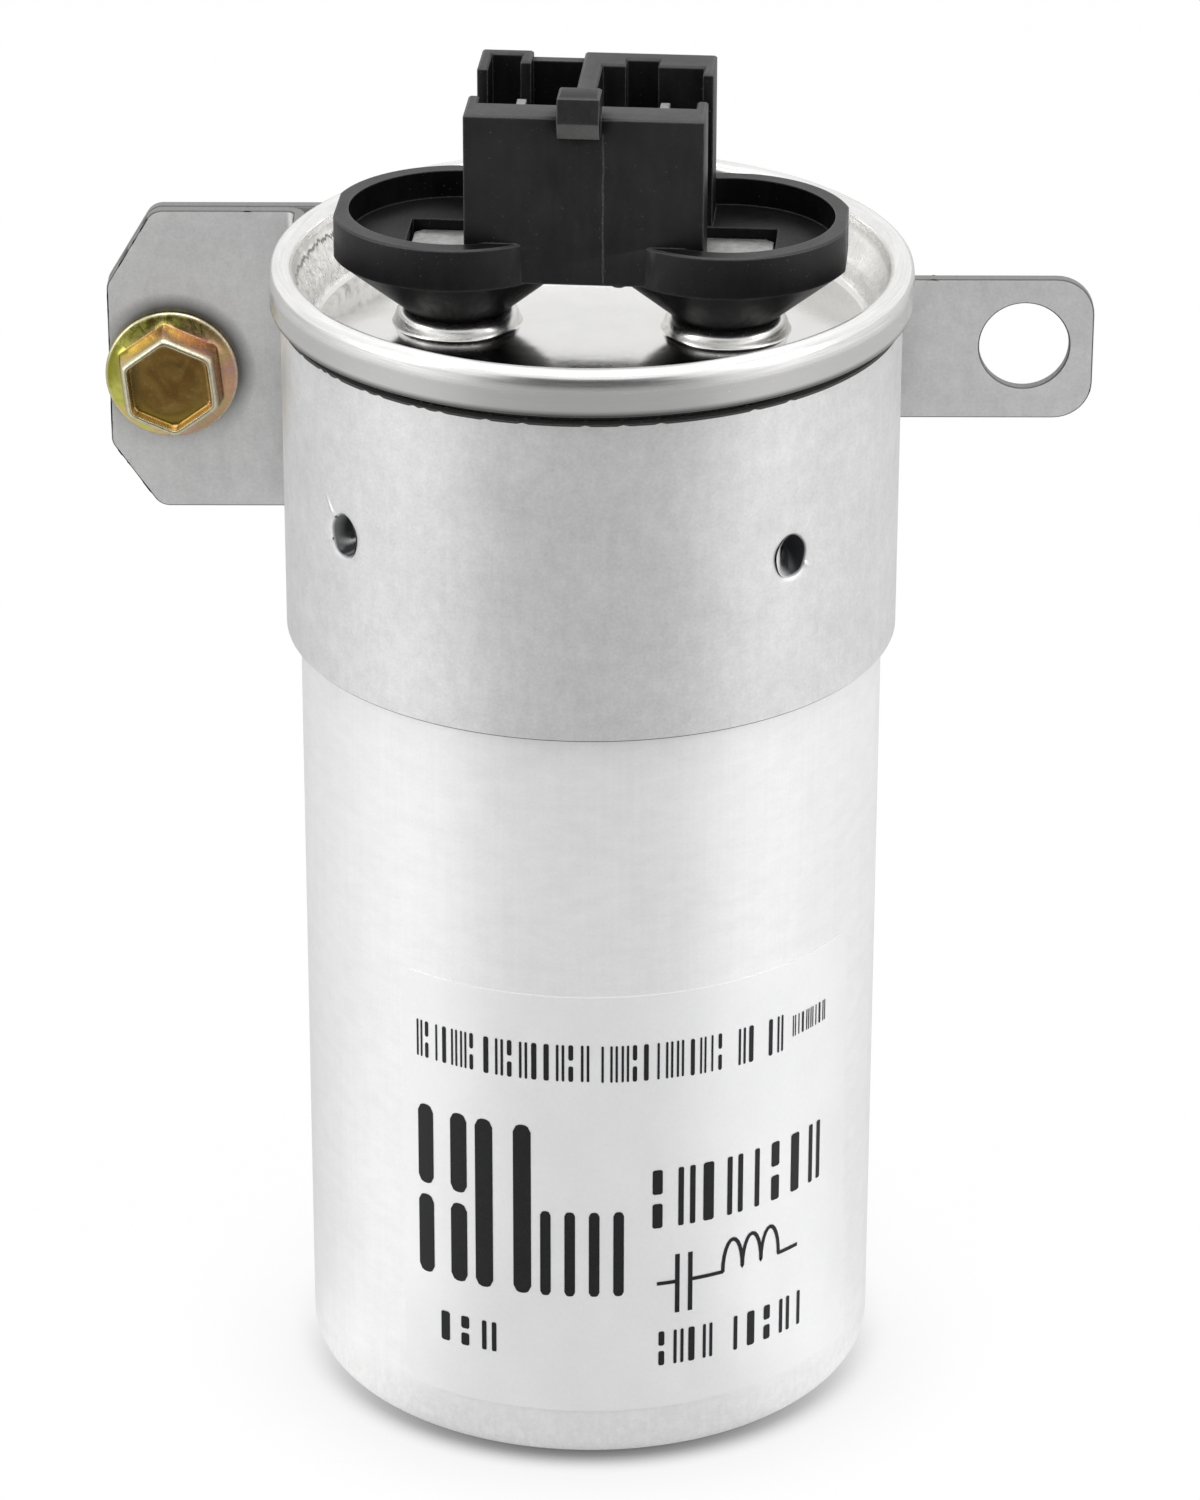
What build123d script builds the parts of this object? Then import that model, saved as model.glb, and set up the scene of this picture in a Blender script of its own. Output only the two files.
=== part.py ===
from build123d import *
from math import cos, pi, radians, sin, tan
import os

# A motor run capacitor with a built-in series coil.
# A round sealed can with a seamed lid carries a moulded terminal housing with two
# blade terminals. A sheet strap clamps the can and holds it to a wall behind it.
# Millimetres, +Z up. The origin is the centre of the can's base, and the wall that
# the strap is screwed to is parallel to XZ, on the +Y side.

os.makedirs("parts", exist_ok=True)

# Can and lid
can_radius = 25.0
can_wall = 0.5
can_base_corner = 1.8
can_height = 102.5
seam_height = 4.1
seam_overhang = 2.15
seam_width = 2.0
seam_top_rounding = 0.95
seam_low_chamfer = 0.6
flare_rise = 2.0
flare_reach = 0.95
hook_reach = 1.5
hook_sheet = 0.5
lid_sheet = 0.8
panel_depth = 6.2
panel_corner = 0.8

# Terminals: one on each side of the can's axis
connector_turn = -4.5
terminal_spacing = 22.7
boss_radius = 5.25
boss_height = 1.35
boss_rounding = 0.8
post_radius = 1.3
blade_spacing = 12.0
blade_width = 6.35
blade_sheet = 0.8
blade_rise = 13.0
blade_tip_chamfer = 1.1
blade_bend = 0.9
blade_hole_radius = 0.85
blade_hole_drop = 4.2
plate_overhang = 3.85
plate_corner = 0.7

# Terminal housing: two cups on conical feet, joined by a block under the socket
foot_radius = 4.3
cone_height = 5.15
cup_radius = 10.5
cup_wall = 1.45
cup_base = 1.2
cup_depth = 2.4
cup_flat_cut = 0.45
cup_edge = 0.15
block_rise = 0.15
block_overlap = 4.3
plate_sink = 1.65
plate_gap = 0.25
socket_width = 19.8
socket_depth = 17.0
socket_height = 13.5
socket_thick_wall = 3.2
socket_thin_wall = 1.0
socket_side_wall = 0.9
socket_slot_width = 7.0
divider_width = 1.7
divider_shift = -0.35
key_width = 3.5
key_rise = 2.1
key_reach = 1.7
key_nose = 1.0
key_drop = 1.5
key_back = 1.6
groove_width = 2.7
groove_depth = 1.6
groove_place = 3.8
rib_width = 0.9
rib_depth = 2.0
rib_place = -6.0
rear_step = 0.6
edge_break = 0.2

# Mounting strap
strap_sheet = 1.1
strap_clearance = 0.1
strap_height = 28.1
strap_gap = 0.75
layer_gap = 0.15
ear_length = 16.7
ear_bend = 2.6
ear_chamfer_side = 4.2
ear_chamfer_top = 7.0
ear_chamfer_bottom = 6.1
ear_rounding = 1.6
tab_drop = 6.75
tab_height = 13.2
tab_length = 18.4
tab_bend = 1.5
tab_flare = 0.4
tab_flare_start = 2.0
tab_flare_bend = 12.0
tab_corner = 3.4
tab_slit = 0.1
tab_hole_radius = 4.0
tab_hole_inset = 6.15
tab_hole_rise = 6.9

# Pierced marks that bite into the can through the strap
mark_rise = 14.2
mark_left = -51.5
mark_right = 39.1
mark_radius = 1.75
mark_depth = 1.5
mark_petal = 0.45
mark_slit = 0.35
mark_clearance = 0.2
mark_taper = 20.0

# Clamp screw through both layers of the left ear
screw_inset = 5.6
screw_rise = 12.9
screw_radius = 2.24
screw_neck_radius = 2.5
screw_length = 12.0
screw_point = 1.0
screw_hole_clearance = 0.25
hex_size = 8.6
hex_sides = 6
hex_height = 3.3
hex_taper = 5.0
hex_turn = 36.0
hex_rounding = 0.15
hex_rim = 0.45
hex_recess_depth = 0.9
hex_recess_taper = 15.0
flange_reach = 0.93
flange_thickness = 0.9
flange_slope = 0.5

# Label
label_sheet = 0.1
label_gap = 3.0
label_height = 40.5
label_start = -40.0
label_sweep = 102.0

# Worked-out places
near = 0.001
seam_radius = can_radius + seam_overhang
well_radius = can_radius - can_wall - lid_sheet
seam_low = can_height - seam_height
crown_radius = seam_radius - seam_width
flare_top = seam_low + flare_rise
flare_radius = can_radius + flare_reach
hook_radius = can_radius + hook_reach
hook_top = flare_top + hook_sheet
panel_height = can_height - panel_depth
panel_underside = panel_height - lid_sheet
terminal_reach = terminal_spacing / 2
foot_height = panel_height + boss_height
cup_low = foot_height + cone_height
cup_floor = cup_low + cup_base
cup_rim = cup_floor + cup_depth
plate_height = cup_floor - plate_sink
plate_reach = terminal_reach + plate_overhang
strap_inner = can_radius + strap_clearance
strap_middle = strap_inner + strap_sheet / 2
strap_outer = strap_inner + strap_sheet
strap_top = seam_low - strap_gap
strap_bottom = strap_top - strap_height
front_layer = strap_middle - strap_sheet - layer_gap
ear_face = front_layer - strap_sheet / 2
ear_reach = strap_outer + ear_length
tab_reach = strap_outer + tab_length
tab_bottom = strap_top - tab_drop - tab_height
tab_hole_centre = (tab_reach - tab_hole_inset, tab_bottom + tab_hole_rise)
screw_x = screw_inset - ear_reach
screw_z = strap_bottom + screw_rise

# The connector frame is turned about the can's axis: u runs from one terminal to the
# other, v runs to the rear.
connector = Plane.XY.rotated((0, 0, connector_turn))
side_plane = Plane(origin=(0, 0, 0), x_dir=connector.x_dir, z_dir=-connector.y_dir)
cross_plane = Plane(origin=(0, 0, 0), x_dir=connector.y_dir, z_dir=connector.x_dir)
u_axis = Axis((0, 0, 0), connector.x_dir)


def radial_plane(angle, radius, height):
    """A plane whose normal points out of the can; angle 0 is the front, + is right."""
    turn = radians(angle - 90)
    outward = Vector(cos(turn), sin(turn), 0)
    centre = outward * radius + Vector(0, 0, height)
    return Plane(origin=centre, x_dir=(-sin(turn), cos(turn), 0), z_dir=outward)


def circles(part, radius, height):
    """The part's circular edges of one radius that lie at one height."""
    rings = part.edges().filter_by(GeomType.CIRCLE)
    rings = rings.filter_by(lambda e: abs(e.radius - radius) < near)
    return rings.filter_by(lambda e: abs(e.center().Z - height) < near)


def hook_outline():
    """The can's flared flange in the seam, as a closed outline of radius and height."""
    return [
        (can_radius - can_wall, panel_underside),
        (can_radius, panel_underside),
        (can_radius, seam_low),
        (flare_radius, flare_top),
        (hook_radius, flare_top),
        (hook_radius, hook_top),
        (flare_radius - can_wall, hook_top),
        (can_radius - can_wall, seam_low),
    ]


def across(value, width):
    """The two ends of a width that is centred on a value."""
    return (value - width / 2, value + width / 2)


def block(left, right, front, rear, mode=Mode.ADD):
    """A rectangle of the current sketch between four sides."""
    with Locations(((left + right) / 2, (front + rear) / 2)):
        Rectangle(right - left, rear - front, mode=mode)


mark_planes = [
    radial_plane(angle, strap_outer, strap_bottom + mark_rise)
    for angle in (mark_left, mark_right)
]

# The can is one drawn cup with its sealed contents, dented under the pierced marks.
with BuildPart() as can:
    with BuildSketch(Plane.XZ):
        with BuildLine():
            base = Line((0, 0), (can_radius - can_base_corner, 0))
            corner = TangentArc(base @ 1, (can_radius, can_base_corner), tangent=(1, 0))
            Line(corner @ 1, (can_radius, panel_underside))
            Line((can_radius, panel_underside), (0, panel_underside))
            Line((0, panel_underside), base @ 0)
        make_face()
        with BuildLine():
            Polyline(*hook_outline(), close=True)
        make_face()
    revolve(axis=Axis.Z)
    for plane in mark_planes:
        with BuildSketch(plane.offset(-strap_sheet)):
            Circle(mark_radius + mark_petal + mark_clearance)
        extrude(amount=-(mark_depth + mark_clearance), taper=mark_taper, mode=Mode.SUBTRACT)
can.part.label = "can"
export_step(can.part, "parts/can.step")

# The lid is a dished cover. Its rim is rolled over the can's flange, and two raised
# bosses carry the terminals.
with BuildPart() as lid:
    with BuildSketch(Plane.XZ) as lid_section:
        block(crown_radius, seam_radius, seam_low, can_height)
        fillet(lid_section.vertices().group_by(Axis.Y)[-1], seam_top_rounding)
        lip = lid_section.vertices().group_by(Axis.Y)[0].sort_by(Axis.X)[-1]
        chamfer(lip, seam_low_chamfer)
        with BuildLine():
            Polyline(
                (0, panel_underside),
                (can_radius - can_wall, panel_underside),
                (can_radius - can_wall, seam_low),
                (crown_radius, seam_low),
                (crown_radius, hook_top),
                (well_radius, seam_low),
                (well_radius, panel_height),
                (0, panel_height),
                close=True,
            )
        make_face()
        with BuildLine():
            Polyline(*hook_outline(), close=True)
        make_face(mode=Mode.SUBTRACT)
    revolve(axis=Axis.Z)
    fillet(circles(lid, well_radius, panel_height), panel_corner)
    with BuildSketch(connector.offset(panel_height)):
        with GridLocations(terminal_spacing, 1, 2, 1):
            Circle(boss_radius)
    extrude(amount=boss_height)
    fillet(circles(lid, boss_radius, foot_height), boss_rounding)
    with BuildSketch(connector.offset(panel_underside)):
        with GridLocations(terminal_spacing, 1, 2, 1):
            Circle(post_radius)
    extrude(amount=lid_sheet + boss_height, mode=Mode.SUBTRACT)
lid.part.label = "lid"
export_step(lid.part, "parts/lid.step")

# The terminal housing is one moulding: two flat-sided cups on conical feet, a block
# between them and the open socket with its divider, key, groove and rib.
socket_top = cup_floor + socket_height
socket_front = -socket_depth / 2
socket_rear = socket_depth / 2
cell_reach = socket_width / 2 - socket_side_wall
divider_left, divider_right = across(divider_shift, divider_width)
rib_left, rib_right = across(rib_place, rib_width)
groove_left, groove_right = across(groove_place, groove_width)
front_inner = socket_front + socket_thick_wall
thick_rear = socket_rear - socket_thick_wall
thin_rear = socket_rear - socket_thin_wall
block_reach = terminal_reach - cup_radius + block_overlap
flat_reach = terminal_reach + cup_radius - cup_flat_cut

with BuildPart() as housing:
    for side in (-1, 1):
        centre = side * terminal_reach
        with BuildSketch(side_plane):
            with BuildLine():
                Polyline(
                    (centre, foot_height),
                    (centre + foot_radius, foot_height),
                    (centre + cup_radius, cup_low),
                    (centre + cup_radius, cup_rim),
                    (centre, cup_rim),
                    close=True,
                )
            make_face()
        revolve(axis=Axis(connector.from_local_coords((centre, 0, 0)), (0, 0, 1)))
    with BuildSketch(connector.offset(foot_height)):
        with GridLocations(2 * flat_reach + cup_radius, 1, 2, 1):
            Rectangle(cup_radius, 2 * cup_radius)
    extrude(amount=cup_rim - foot_height, mode=Mode.SUBTRACT)
    chamfer(circles(housing, cup_radius, cup_rim), cup_edge)
    with BuildSketch(connector.offset(cup_floor)):
        with GridLocations(terminal_spacing, 1, 2, 1):
            Circle(cup_radius - cup_wall)
    extrude(amount=cup_depth, mode=Mode.SUBTRACT)
    with BuildSketch(connector.offset(cup_low + block_rise)):
        Rectangle(2 * block_reach, socket_depth)
    extrude(amount=cup_rim - cup_low - block_rise)
    with BuildSketch(connector.offset(cup_floor)):
        Rectangle(socket_width, socket_depth)
    extrude(amount=socket_height)
    with BuildSketch(connector.offset(cup_floor)):
        block(-cell_reach, divider_left, front_inner, thin_rear)
        block(divider_right, cell_reach, front_inner, thick_rear)
        block(groove_left, groove_right, front_inner, thick_rear + groove_depth)
        block(rib_left, rib_right, thin_rear - rib_depth, thin_rear, Mode.SUBTRACT)
    extrude(amount=socket_height, mode=Mode.SUBTRACT)
    with BuildSketch(connector.offset(cup_floor)):
        with GridLocations(2 * cell_reach + socket_side_wall, 1, 2, 1):
            Rectangle(2 * socket_side_wall, socket_slot_width)
    extrude(amount=socket_height, mode=Mode.SUBTRACT)
    with BuildSketch(connector.offset(socket_top)):
        block(rib_right, divider_left, thin_rear, socket_rear)
    extrude(amount=-rear_step, mode=Mode.SUBTRACT)
    chamfer(housing.edges().group_by(Axis.Z)[-1], edge_break)
    with BuildSketch(cross_plane.offset(divider_shift)):
        with BuildLine():
            Polyline(
                (socket_front + key_back, socket_top - key_drop),
                (socket_front + key_back, socket_top + key_rise),
                (socket_front - key_nose, socket_top + key_rise),
                (socket_front - key_reach, socket_top),
                (socket_front - key_nose, socket_top - key_drop),
                (socket_front, socket_top - key_drop),
                close=True,
            )
        make_face()
    extrude(amount=key_width / 2, both=True)
    chamfer(housing.edges().group_by(Axis.Z)[-1], edge_break)
    with BuildSketch(connector.offset(plate_height)):
        for side in (-1, 1):
            inner = side * (blade_spacing / 2 - blade_sheet / 2 - plate_gap)
            outer = side * (plate_reach + plate_gap)
            reach = blade_width / 2 + plate_gap
            block(min(inner, outer), max(inner, outer), -reach, reach)
    extrude(amount=plate_sink, mode=Mode.SUBTRACT)
    with BuildSketch(connector.offset(foot_height)):
        with GridLocations(terminal_spacing, 1, 2, 1):
            Circle(post_radius)
    extrude(amount=plate_height - foot_height, mode=Mode.SUBTRACT)
housing.part.label = "terminal_housing"
export_step(housing.part, "parts/terminal_housing.step")

# Each blade terminal is one bent strip: a plate that is welded on the post in the cup
# and a blade that stands in the socket.
plate_middle = plate_height + blade_sheet / 2
blade_tip = plate_height + blade_rise
for side, name in ((-1, "blade_left"), (1, "blade_right")):
    blade_place = side * blade_spacing / 2
    with BuildPart() as blade:
        with BuildSketch(side_plane):
            with BuildLine():
                FilletPolyline(
                    (side * plate_reach, plate_middle),
                    (blade_place, plate_middle),
                    (blade_place, blade_tip),
                    radius=blade_bend,
                )
            trace(line_width=blade_sheet)
        extrude(amount=blade_width / 2, both=True)
        tip_corners = blade.edges().group_by(Axis.Z)[-1].filter_by(u_axis)
        chamfer(tip_corners, blade_tip_chamfer)
        upright = blade.edges().filter_by(Axis.Z).sort_by(u_axis, reverse=side > 0)
        chamfer(upright[:2], plate_corner)
        with BuildSketch(cross_plane.offset(blade_place)):
            with Locations((0, blade_tip - blade_hole_drop)):
                Circle(blade_hole_radius)
        extrude(amount=blade_sheet, both=True, mode=Mode.SUBTRACT)
    blade.part.label = name
    export_step(blade.part, f"parts/{name}.step")

# Each post is a stud from the sealed contents up through the lid and the foot, to the
# underside of the plate.
for side, name in ((-1, "post_left"), (1, "post_right")):
    with BuildPart() as post:
        with BuildSketch(connector.offset(panel_underside)):
            with Locations((side * terminal_reach, 0)):
                Circle(post_radius)
        extrude(amount=plate_height - panel_underside)
    post.part.label = name
    export_step(post.part, f"parts/{name}.step")

# The strap is one folded strip. It starts as the front layer of the left ear, goes
# round the front of the can and back behind it, and ends as the ear's rear layer.
# The tab is sheared out of its rear right quarter and bent to the right.
with BuildLine(Plane.XY.offset(tab_bottom)):
    tab_path = FilletPolyline(
        (strap_middle, 0),
        (strap_middle, tab_flare_start),
        (strap_middle + tab_flare, strap_middle),
        (tab_reach, strap_middle),
        radius=[tab_flare_bend, tab_bend],
    )
window_end = tab_path.length - pi / 2 * strap_middle + tab_slit
back_plane = Plane.XZ.offset(-strap_outer)

with BuildPart() as strap:
    with BuildSketch(Plane.XY.offset(strap_bottom)):
        with BuildLine():
            FilletPolyline(
                (-ear_reach, front_layer),
                (-strap_middle, front_layer),
                (-strap_middle, 0),
                radius=ear_bend,
            )
            CenterArc((0, 0), strap_middle, 180, 270)
            Line((0, strap_middle), (-ear_reach, strap_middle))
        trace(line_width=strap_sheet)
    extrude(amount=strap_height)
    # the window that the tab leaves, from the right side to past the middle of the back
    with BuildSketch(back_plane) as window:
        tab_low = tab_bottom - tab_slit
        tab_high = tab_bottom + tab_height + tab_slit
        block(-window_end, strap_outer, tab_low, tab_high)
        fillet(window.vertices().sort_by(Axis.X)[:2], tab_corner)
    extrude(amount=strap_outer, mode=Mode.SUBTRACT)
    with BuildSketch(Plane.XY.offset(tab_bottom)):
        trace(tab_path, line_width=strap_sheet)
    extrude(amount=tab_height)
    tab_end = strap.edges().filter_by(Axis.Y).group_by(Axis.X)[-1]
    fillet(tab_end, tab_corner)
    # the left ear's two slanted corners, through both layers
    with BuildSketch(back_plane):
        for edge, drop in ((strap_top, -ear_chamfer_top), (strap_bottom, ear_chamfer_bottom)):
            with BuildLine():
                Polyline(
                    (-ear_reach, edge),
                    (-ear_reach + ear_chamfer_side, edge),
                    (-ear_reach, edge + drop),
                    close=True,
                )
            make_face()
    extrude(amount=strap_outer - ear_face, mode=Mode.SUBTRACT)
    slant_reach = -ear_reach + ear_chamfer_side + near
    slant_corners = strap.edges().filter_by(Axis.Y).filter_by(
        lambda e: e.center().X < slant_reach
    )
    fillet(slant_corners, ear_rounding)
    # the tab's hole, and the screw's holes: a clear one in front, a tight one behind
    with BuildSketch(back_plane):
        with Locations(tab_hole_centre):
            Circle(tab_hole_radius)
        with Locations((screw_x, screw_z)):
            Circle(screw_neck_radius)
    extrude(amount=strap_outer - ear_face, mode=Mode.SUBTRACT)
    with BuildSketch(Plane.XZ.offset(-ear_face)):
        with Locations((screw_x, screw_z)):
            Circle(screw_neck_radius + screw_hole_clearance)
    extrude(amount=-strap_sheet, mode=Mode.SUBTRACT)
    # the pierced marks: a torn hole whose petals are driven in
    for plane in mark_planes:
        with BuildSketch(plane):
            Circle(mark_radius)
        extrude(amount=-strap_sheet - strap_clearance, mode=Mode.SUBTRACT)
        petal_plane = Plane(origin=plane.origin, x_dir=plane.x_dir, z_dir=-plane.y_dir)
        with BuildSketch(petal_plane):
            with BuildLine():
                Polyline(
                    (mark_radius + mark_petal, -strap_sheet / 2),
                    (mark_radius, -strap_sheet / 2),
                    (mark_radius / 2, -strap_sheet - mark_depth),
                    (mark_radius / 2 + mark_petal, -strap_sheet - mark_depth),
                    (mark_radius + mark_petal, -strap_sheet),
                    close=True,
                )
            make_face()
        revolve(axis=Axis(plane.origin, plane.z_dir))
        with BuildSketch(plane.offset(-strap_sheet - mark_depth)):
            Rectangle(mark_slit, 2 * mark_radius)
            Rectangle(2 * mark_radius, mark_slit)
        extrude(amount=strap_sheet + mark_depth, mode=Mode.SUBTRACT)
strap.part.label = "mounting_strap"
export_step(strap.part, "parts/mounting_strap.step")

# The clamp screw is one headed piece: a hex with a dished top on a sloped flange, a neck
# of the thread's full radius that is tight in the ear's rear layer, and a shank of the
# thread's mean radius that goes into the wall behind.
screw_plane = Plane(origin=(screw_x, ear_face, screw_z), x_dir=(1, 0, 0), z_dir=(0, -1, 0))
screw_profile = Plane(origin=screw_plane.origin, x_dir=(1, 0, 0), z_dir=(0, 0, -1))
hex_corner = hex_size / 2 / cos(pi / hex_sides)
hex_top = flange_thickness + hex_height
top_size = hex_size - 2 * hex_height * tan(radians(hex_taper))
flange_radius = hex_corner + flange_reach

with BuildPart() as screw:
    with BuildSketch(screw_profile):
        with BuildLine():
            Polyline(
                (0, -screw_length),
                (screw_radius - screw_point, -screw_length),
                (screw_radius, screw_point - screw_length),
                (screw_radius, ear_face - strap_outer),
                (screw_neck_radius, ear_face - strap_outer),
                (screw_neck_radius, 0),
                (flange_radius, 0),
                (flange_radius, flange_thickness),
                (hex_corner, flange_thickness + flange_slope),
                (0, flange_thickness + flange_slope),
                close=True,
            )
        make_face()
    revolve(axis=Axis(screw_plane.origin, (0, -1, 0)))
    with BuildSketch(screw_plane.offset(flange_thickness)):
        RegularPolygon(hex_size / 2, hex_sides, major_radius=False, rotation=hex_turn)
    extrude(amount=hex_height, taper=hex_taper)
    hex_face = screw.faces().sort_by(Axis.Y)[0]
    fillet(hex_face.edges(), hex_rounding)
    with BuildSketch(screw_plane.offset(hex_top)):
        RegularPolygon(top_size / 2 - hex_rim, hex_sides, major_radius=False, rotation=hex_turn)
    extrude(amount=-hex_recess_depth, taper=hex_recess_taper, mode=Mode.SUBTRACT)
screw.part.label = "clamp_screw"
export_step(screw.part, "parts/clamp_screw.step")

# The label is a thin film on the front of the can.
label_turn = radians(label_start - 90)
label_plane = Plane(
    origin=(0, 0, can_base_corner + label_gap),
    x_dir=(cos(label_turn), sin(label_turn), 0),
    z_dir=(sin(label_turn), -cos(label_turn), 0),
)
with BuildPart() as label:
    with BuildSketch(label_plane):
        block(can_radius, can_radius + label_sheet, 0, label_height)
    revolve(axis=Axis.Z, revolution_arc=label_sweep)
label.part.label = "label"
export_step(label.part, "parts/label.step")
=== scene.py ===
import math

import bmesh
import bpy
from mathutils import Matrix, Vector
from mathutils.geometry import delaunay_2d_cdt


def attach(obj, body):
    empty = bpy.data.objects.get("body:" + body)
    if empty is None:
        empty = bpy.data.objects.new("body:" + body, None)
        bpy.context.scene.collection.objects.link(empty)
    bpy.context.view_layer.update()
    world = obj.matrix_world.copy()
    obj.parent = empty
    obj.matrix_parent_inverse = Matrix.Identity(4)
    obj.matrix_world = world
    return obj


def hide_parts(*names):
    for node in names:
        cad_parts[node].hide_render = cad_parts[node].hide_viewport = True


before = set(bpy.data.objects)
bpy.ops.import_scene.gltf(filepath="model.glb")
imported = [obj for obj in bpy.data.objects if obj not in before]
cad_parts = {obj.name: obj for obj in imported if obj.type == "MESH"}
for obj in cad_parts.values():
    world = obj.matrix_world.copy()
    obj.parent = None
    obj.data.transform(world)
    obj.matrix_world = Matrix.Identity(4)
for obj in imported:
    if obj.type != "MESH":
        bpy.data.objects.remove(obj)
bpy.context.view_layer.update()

MM = 0.001
scene = bpy.context.scene

# Sizes and places, in millimetres
TURN = math.radians(-4.5)          # the terminal housing's turn about the can's axis
CAN_R = 25.0
LABEL_R = 25.1
PRINT_LIFT = 0.03
LID_FLOOR = 96.3
POST_PLACES = (-11.35, 11.35)      # along the housing, from the can's axis
SHEET, SHEET_EDGE = 1.1, 0.13      # the strap's thickness and its softened edge
STRAP_MIDDLE = 25.65               # the middle of the sheet, from the can's axis
STRAP_LOW, STRAP_HIGH = 69.55, 97.65
TAB_LOW, TAB_HIGH = 77.7, 90.9
EAR_END, EAR_FRONT, EAR_BEND = -42.9, 24.4, 1.25
TAB_END = 44.6
SCREW_PLACE, SCREW_HEIGHT = -37.3, 82.45
SCREW = Vector((SCREW_PLACE, EAR_FRONT - SHEET / 2, SCREW_HEIGHT))      # under its head
SCREW_LENGTH, THREAD_R, THREAD_PITCH = 12.0, 2.5, 0.8
MARKS = ((-51.5, 83.75), (39.1, 83.75))     # angle from the front, height
# the creases from each mark: direction in degrees, length, height
CREASES = (((130, 2.6, 0.20), (207, 1.9, 0.20)), ((-37, 1.9, 0.14), (54, 2.6, 0.07)))

# The camera, fitted to the photograph: the focal length in pixels of a frame 1500 high
FOCAL_PIXELS, FRAME_HEIGHT, SENSOR = 5994.19, 1500, 36.0
CAMERA_PLACE = Vector((0.78895, -472.8314, 278.6221))


# Shared mesh code

def finish_piece(obj, material, replaces=()):
    """Gives a piece its material and its body, and hides the CAD nodes that it stands for."""
    obj.data.materials.clear()
    obj.data.materials.append(material)
    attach(obj, "root")
    if replaces:
        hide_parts(*replaces)


def mesh_object(name, verts, faces, sharp=35.0):
    """A smooth-shaded object from points in millimetres, sharp above an angle in degrees."""
    mesh = bpy.data.meshes.new(name)
    mesh.from_pydata([Vector(v) * MM for v in verts], [], faces)
    work = bmesh.new()
    work.from_mesh(mesh)
    bmesh.ops.remove_doubles(work, verts=work.verts, dist=1e-7)
    bmesh.ops.recalc_face_normals(work, faces=work.faces)
    work.to_mesh(mesh)
    work.free()
    mesh.polygons.foreach_set("use_smooth", [True] * len(mesh.polygons))
    mesh.set_sharp_from_angle(angle=math.radians(sharp))
    obj = bpy.data.objects.new(name, mesh)
    scene.collection.objects.link(obj)
    return obj


def lathe(profile, segments, centre=(0.0, 0.0), shape=None):
    """Points and faces of a profile of (radius, height) turned about a vertical axis.
    shape(angle, radius, height) may move a point; the angle is 0 in front, + to the right."""
    verts, faces = [], []
    for i in range(segments):
        angle = 2 * math.pi * i / segments
        for radius, height in profile:
            if shape:
                radius, height = shape(angle, radius, height)
            verts.append((centre[0] + radius * math.sin(angle), centre[1] - radius * math.cos(angle), height))
    n = len(profile)
    for i in range(segments):
        a, b = i * n, ((i + 1) % segments) * n
        for j in range(n - 1):
            if profile[j][0] < 1e-9 and profile[j + 1][0] < 1e-9:
                continue
            faces.append((a + j, b + j, b + j + 1, a + j + 1))
    return verts, faces


def merged(*parts):
    verts, faces = [], []
    for part_verts, part_faces in parts:
        start = len(verts)
        verts += part_verts
        faces += [tuple(i + start for i in face) for face in part_faces]
    return verts, faces


def arc_points(cx, cy, radius, a0, a1, steps):
    return [
        (cx + radius * math.cos(math.radians(a0 + (a1 - a0) * i / steps)),
         cy + radius * math.sin(math.radians(a0 + (a1 - a0) * i / steps)))
        for i in range(steps + 1)
    ]


def ring_faces(rings, steps):
    """The faces between closed rings of points that follow each other."""
    faces = []
    for j in range(rings - 1):
        for i in range(steps):
            a, b = j * steps + i, j * steps + (i + 1) % steps
            faces.append((a, b, b + steps, a + steps))
    return faces


def ring_cap(first, steps, tip):
    """The faces from a closed ring to one point."""
    return [(first + i, first + (i + 1) % steps, tip) for i in range(steps)]


def corner_cut(near, radius):
    """How far a rounded corner stands back, at a distance from the end."""
    if near >= radius:
        return 0.0
    return radius - math.sqrt(max(0.0, radius ** 2 - (radius - near) ** 2))


def corner_arc(before, corner, after, radius):
    """The rounding of a corner: its start, end and centre, its first angle and its bend."""
    d0, d1 = (corner - before).normalized(), (after - corner).normalized()
    bend = math.atan2(d0.x * d1.y - d0.y * d1.x, d0.dot(d1))
    cut = radius * math.tan(abs(bend) / 2)
    side = 1 if bend > 0 else -1
    first, last = corner - d0 * cut, corner + d1 * cut
    centre = first + Vector((-d0.y, d0.x)) * radius * side
    return first, last, centre, math.atan2(first.y - centre.y, first.x - centre.x), bend


def uv_row(u, v):
    """A point of the housing's own frame, u to the right terminal and v to the rear."""
    return (u * math.cos(TURN) - v * math.sin(TURN), u * math.sin(TURN) + v * math.cos(TURN))


# Shared material code

def grey(value):
    return (value, value, value, 1)


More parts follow.
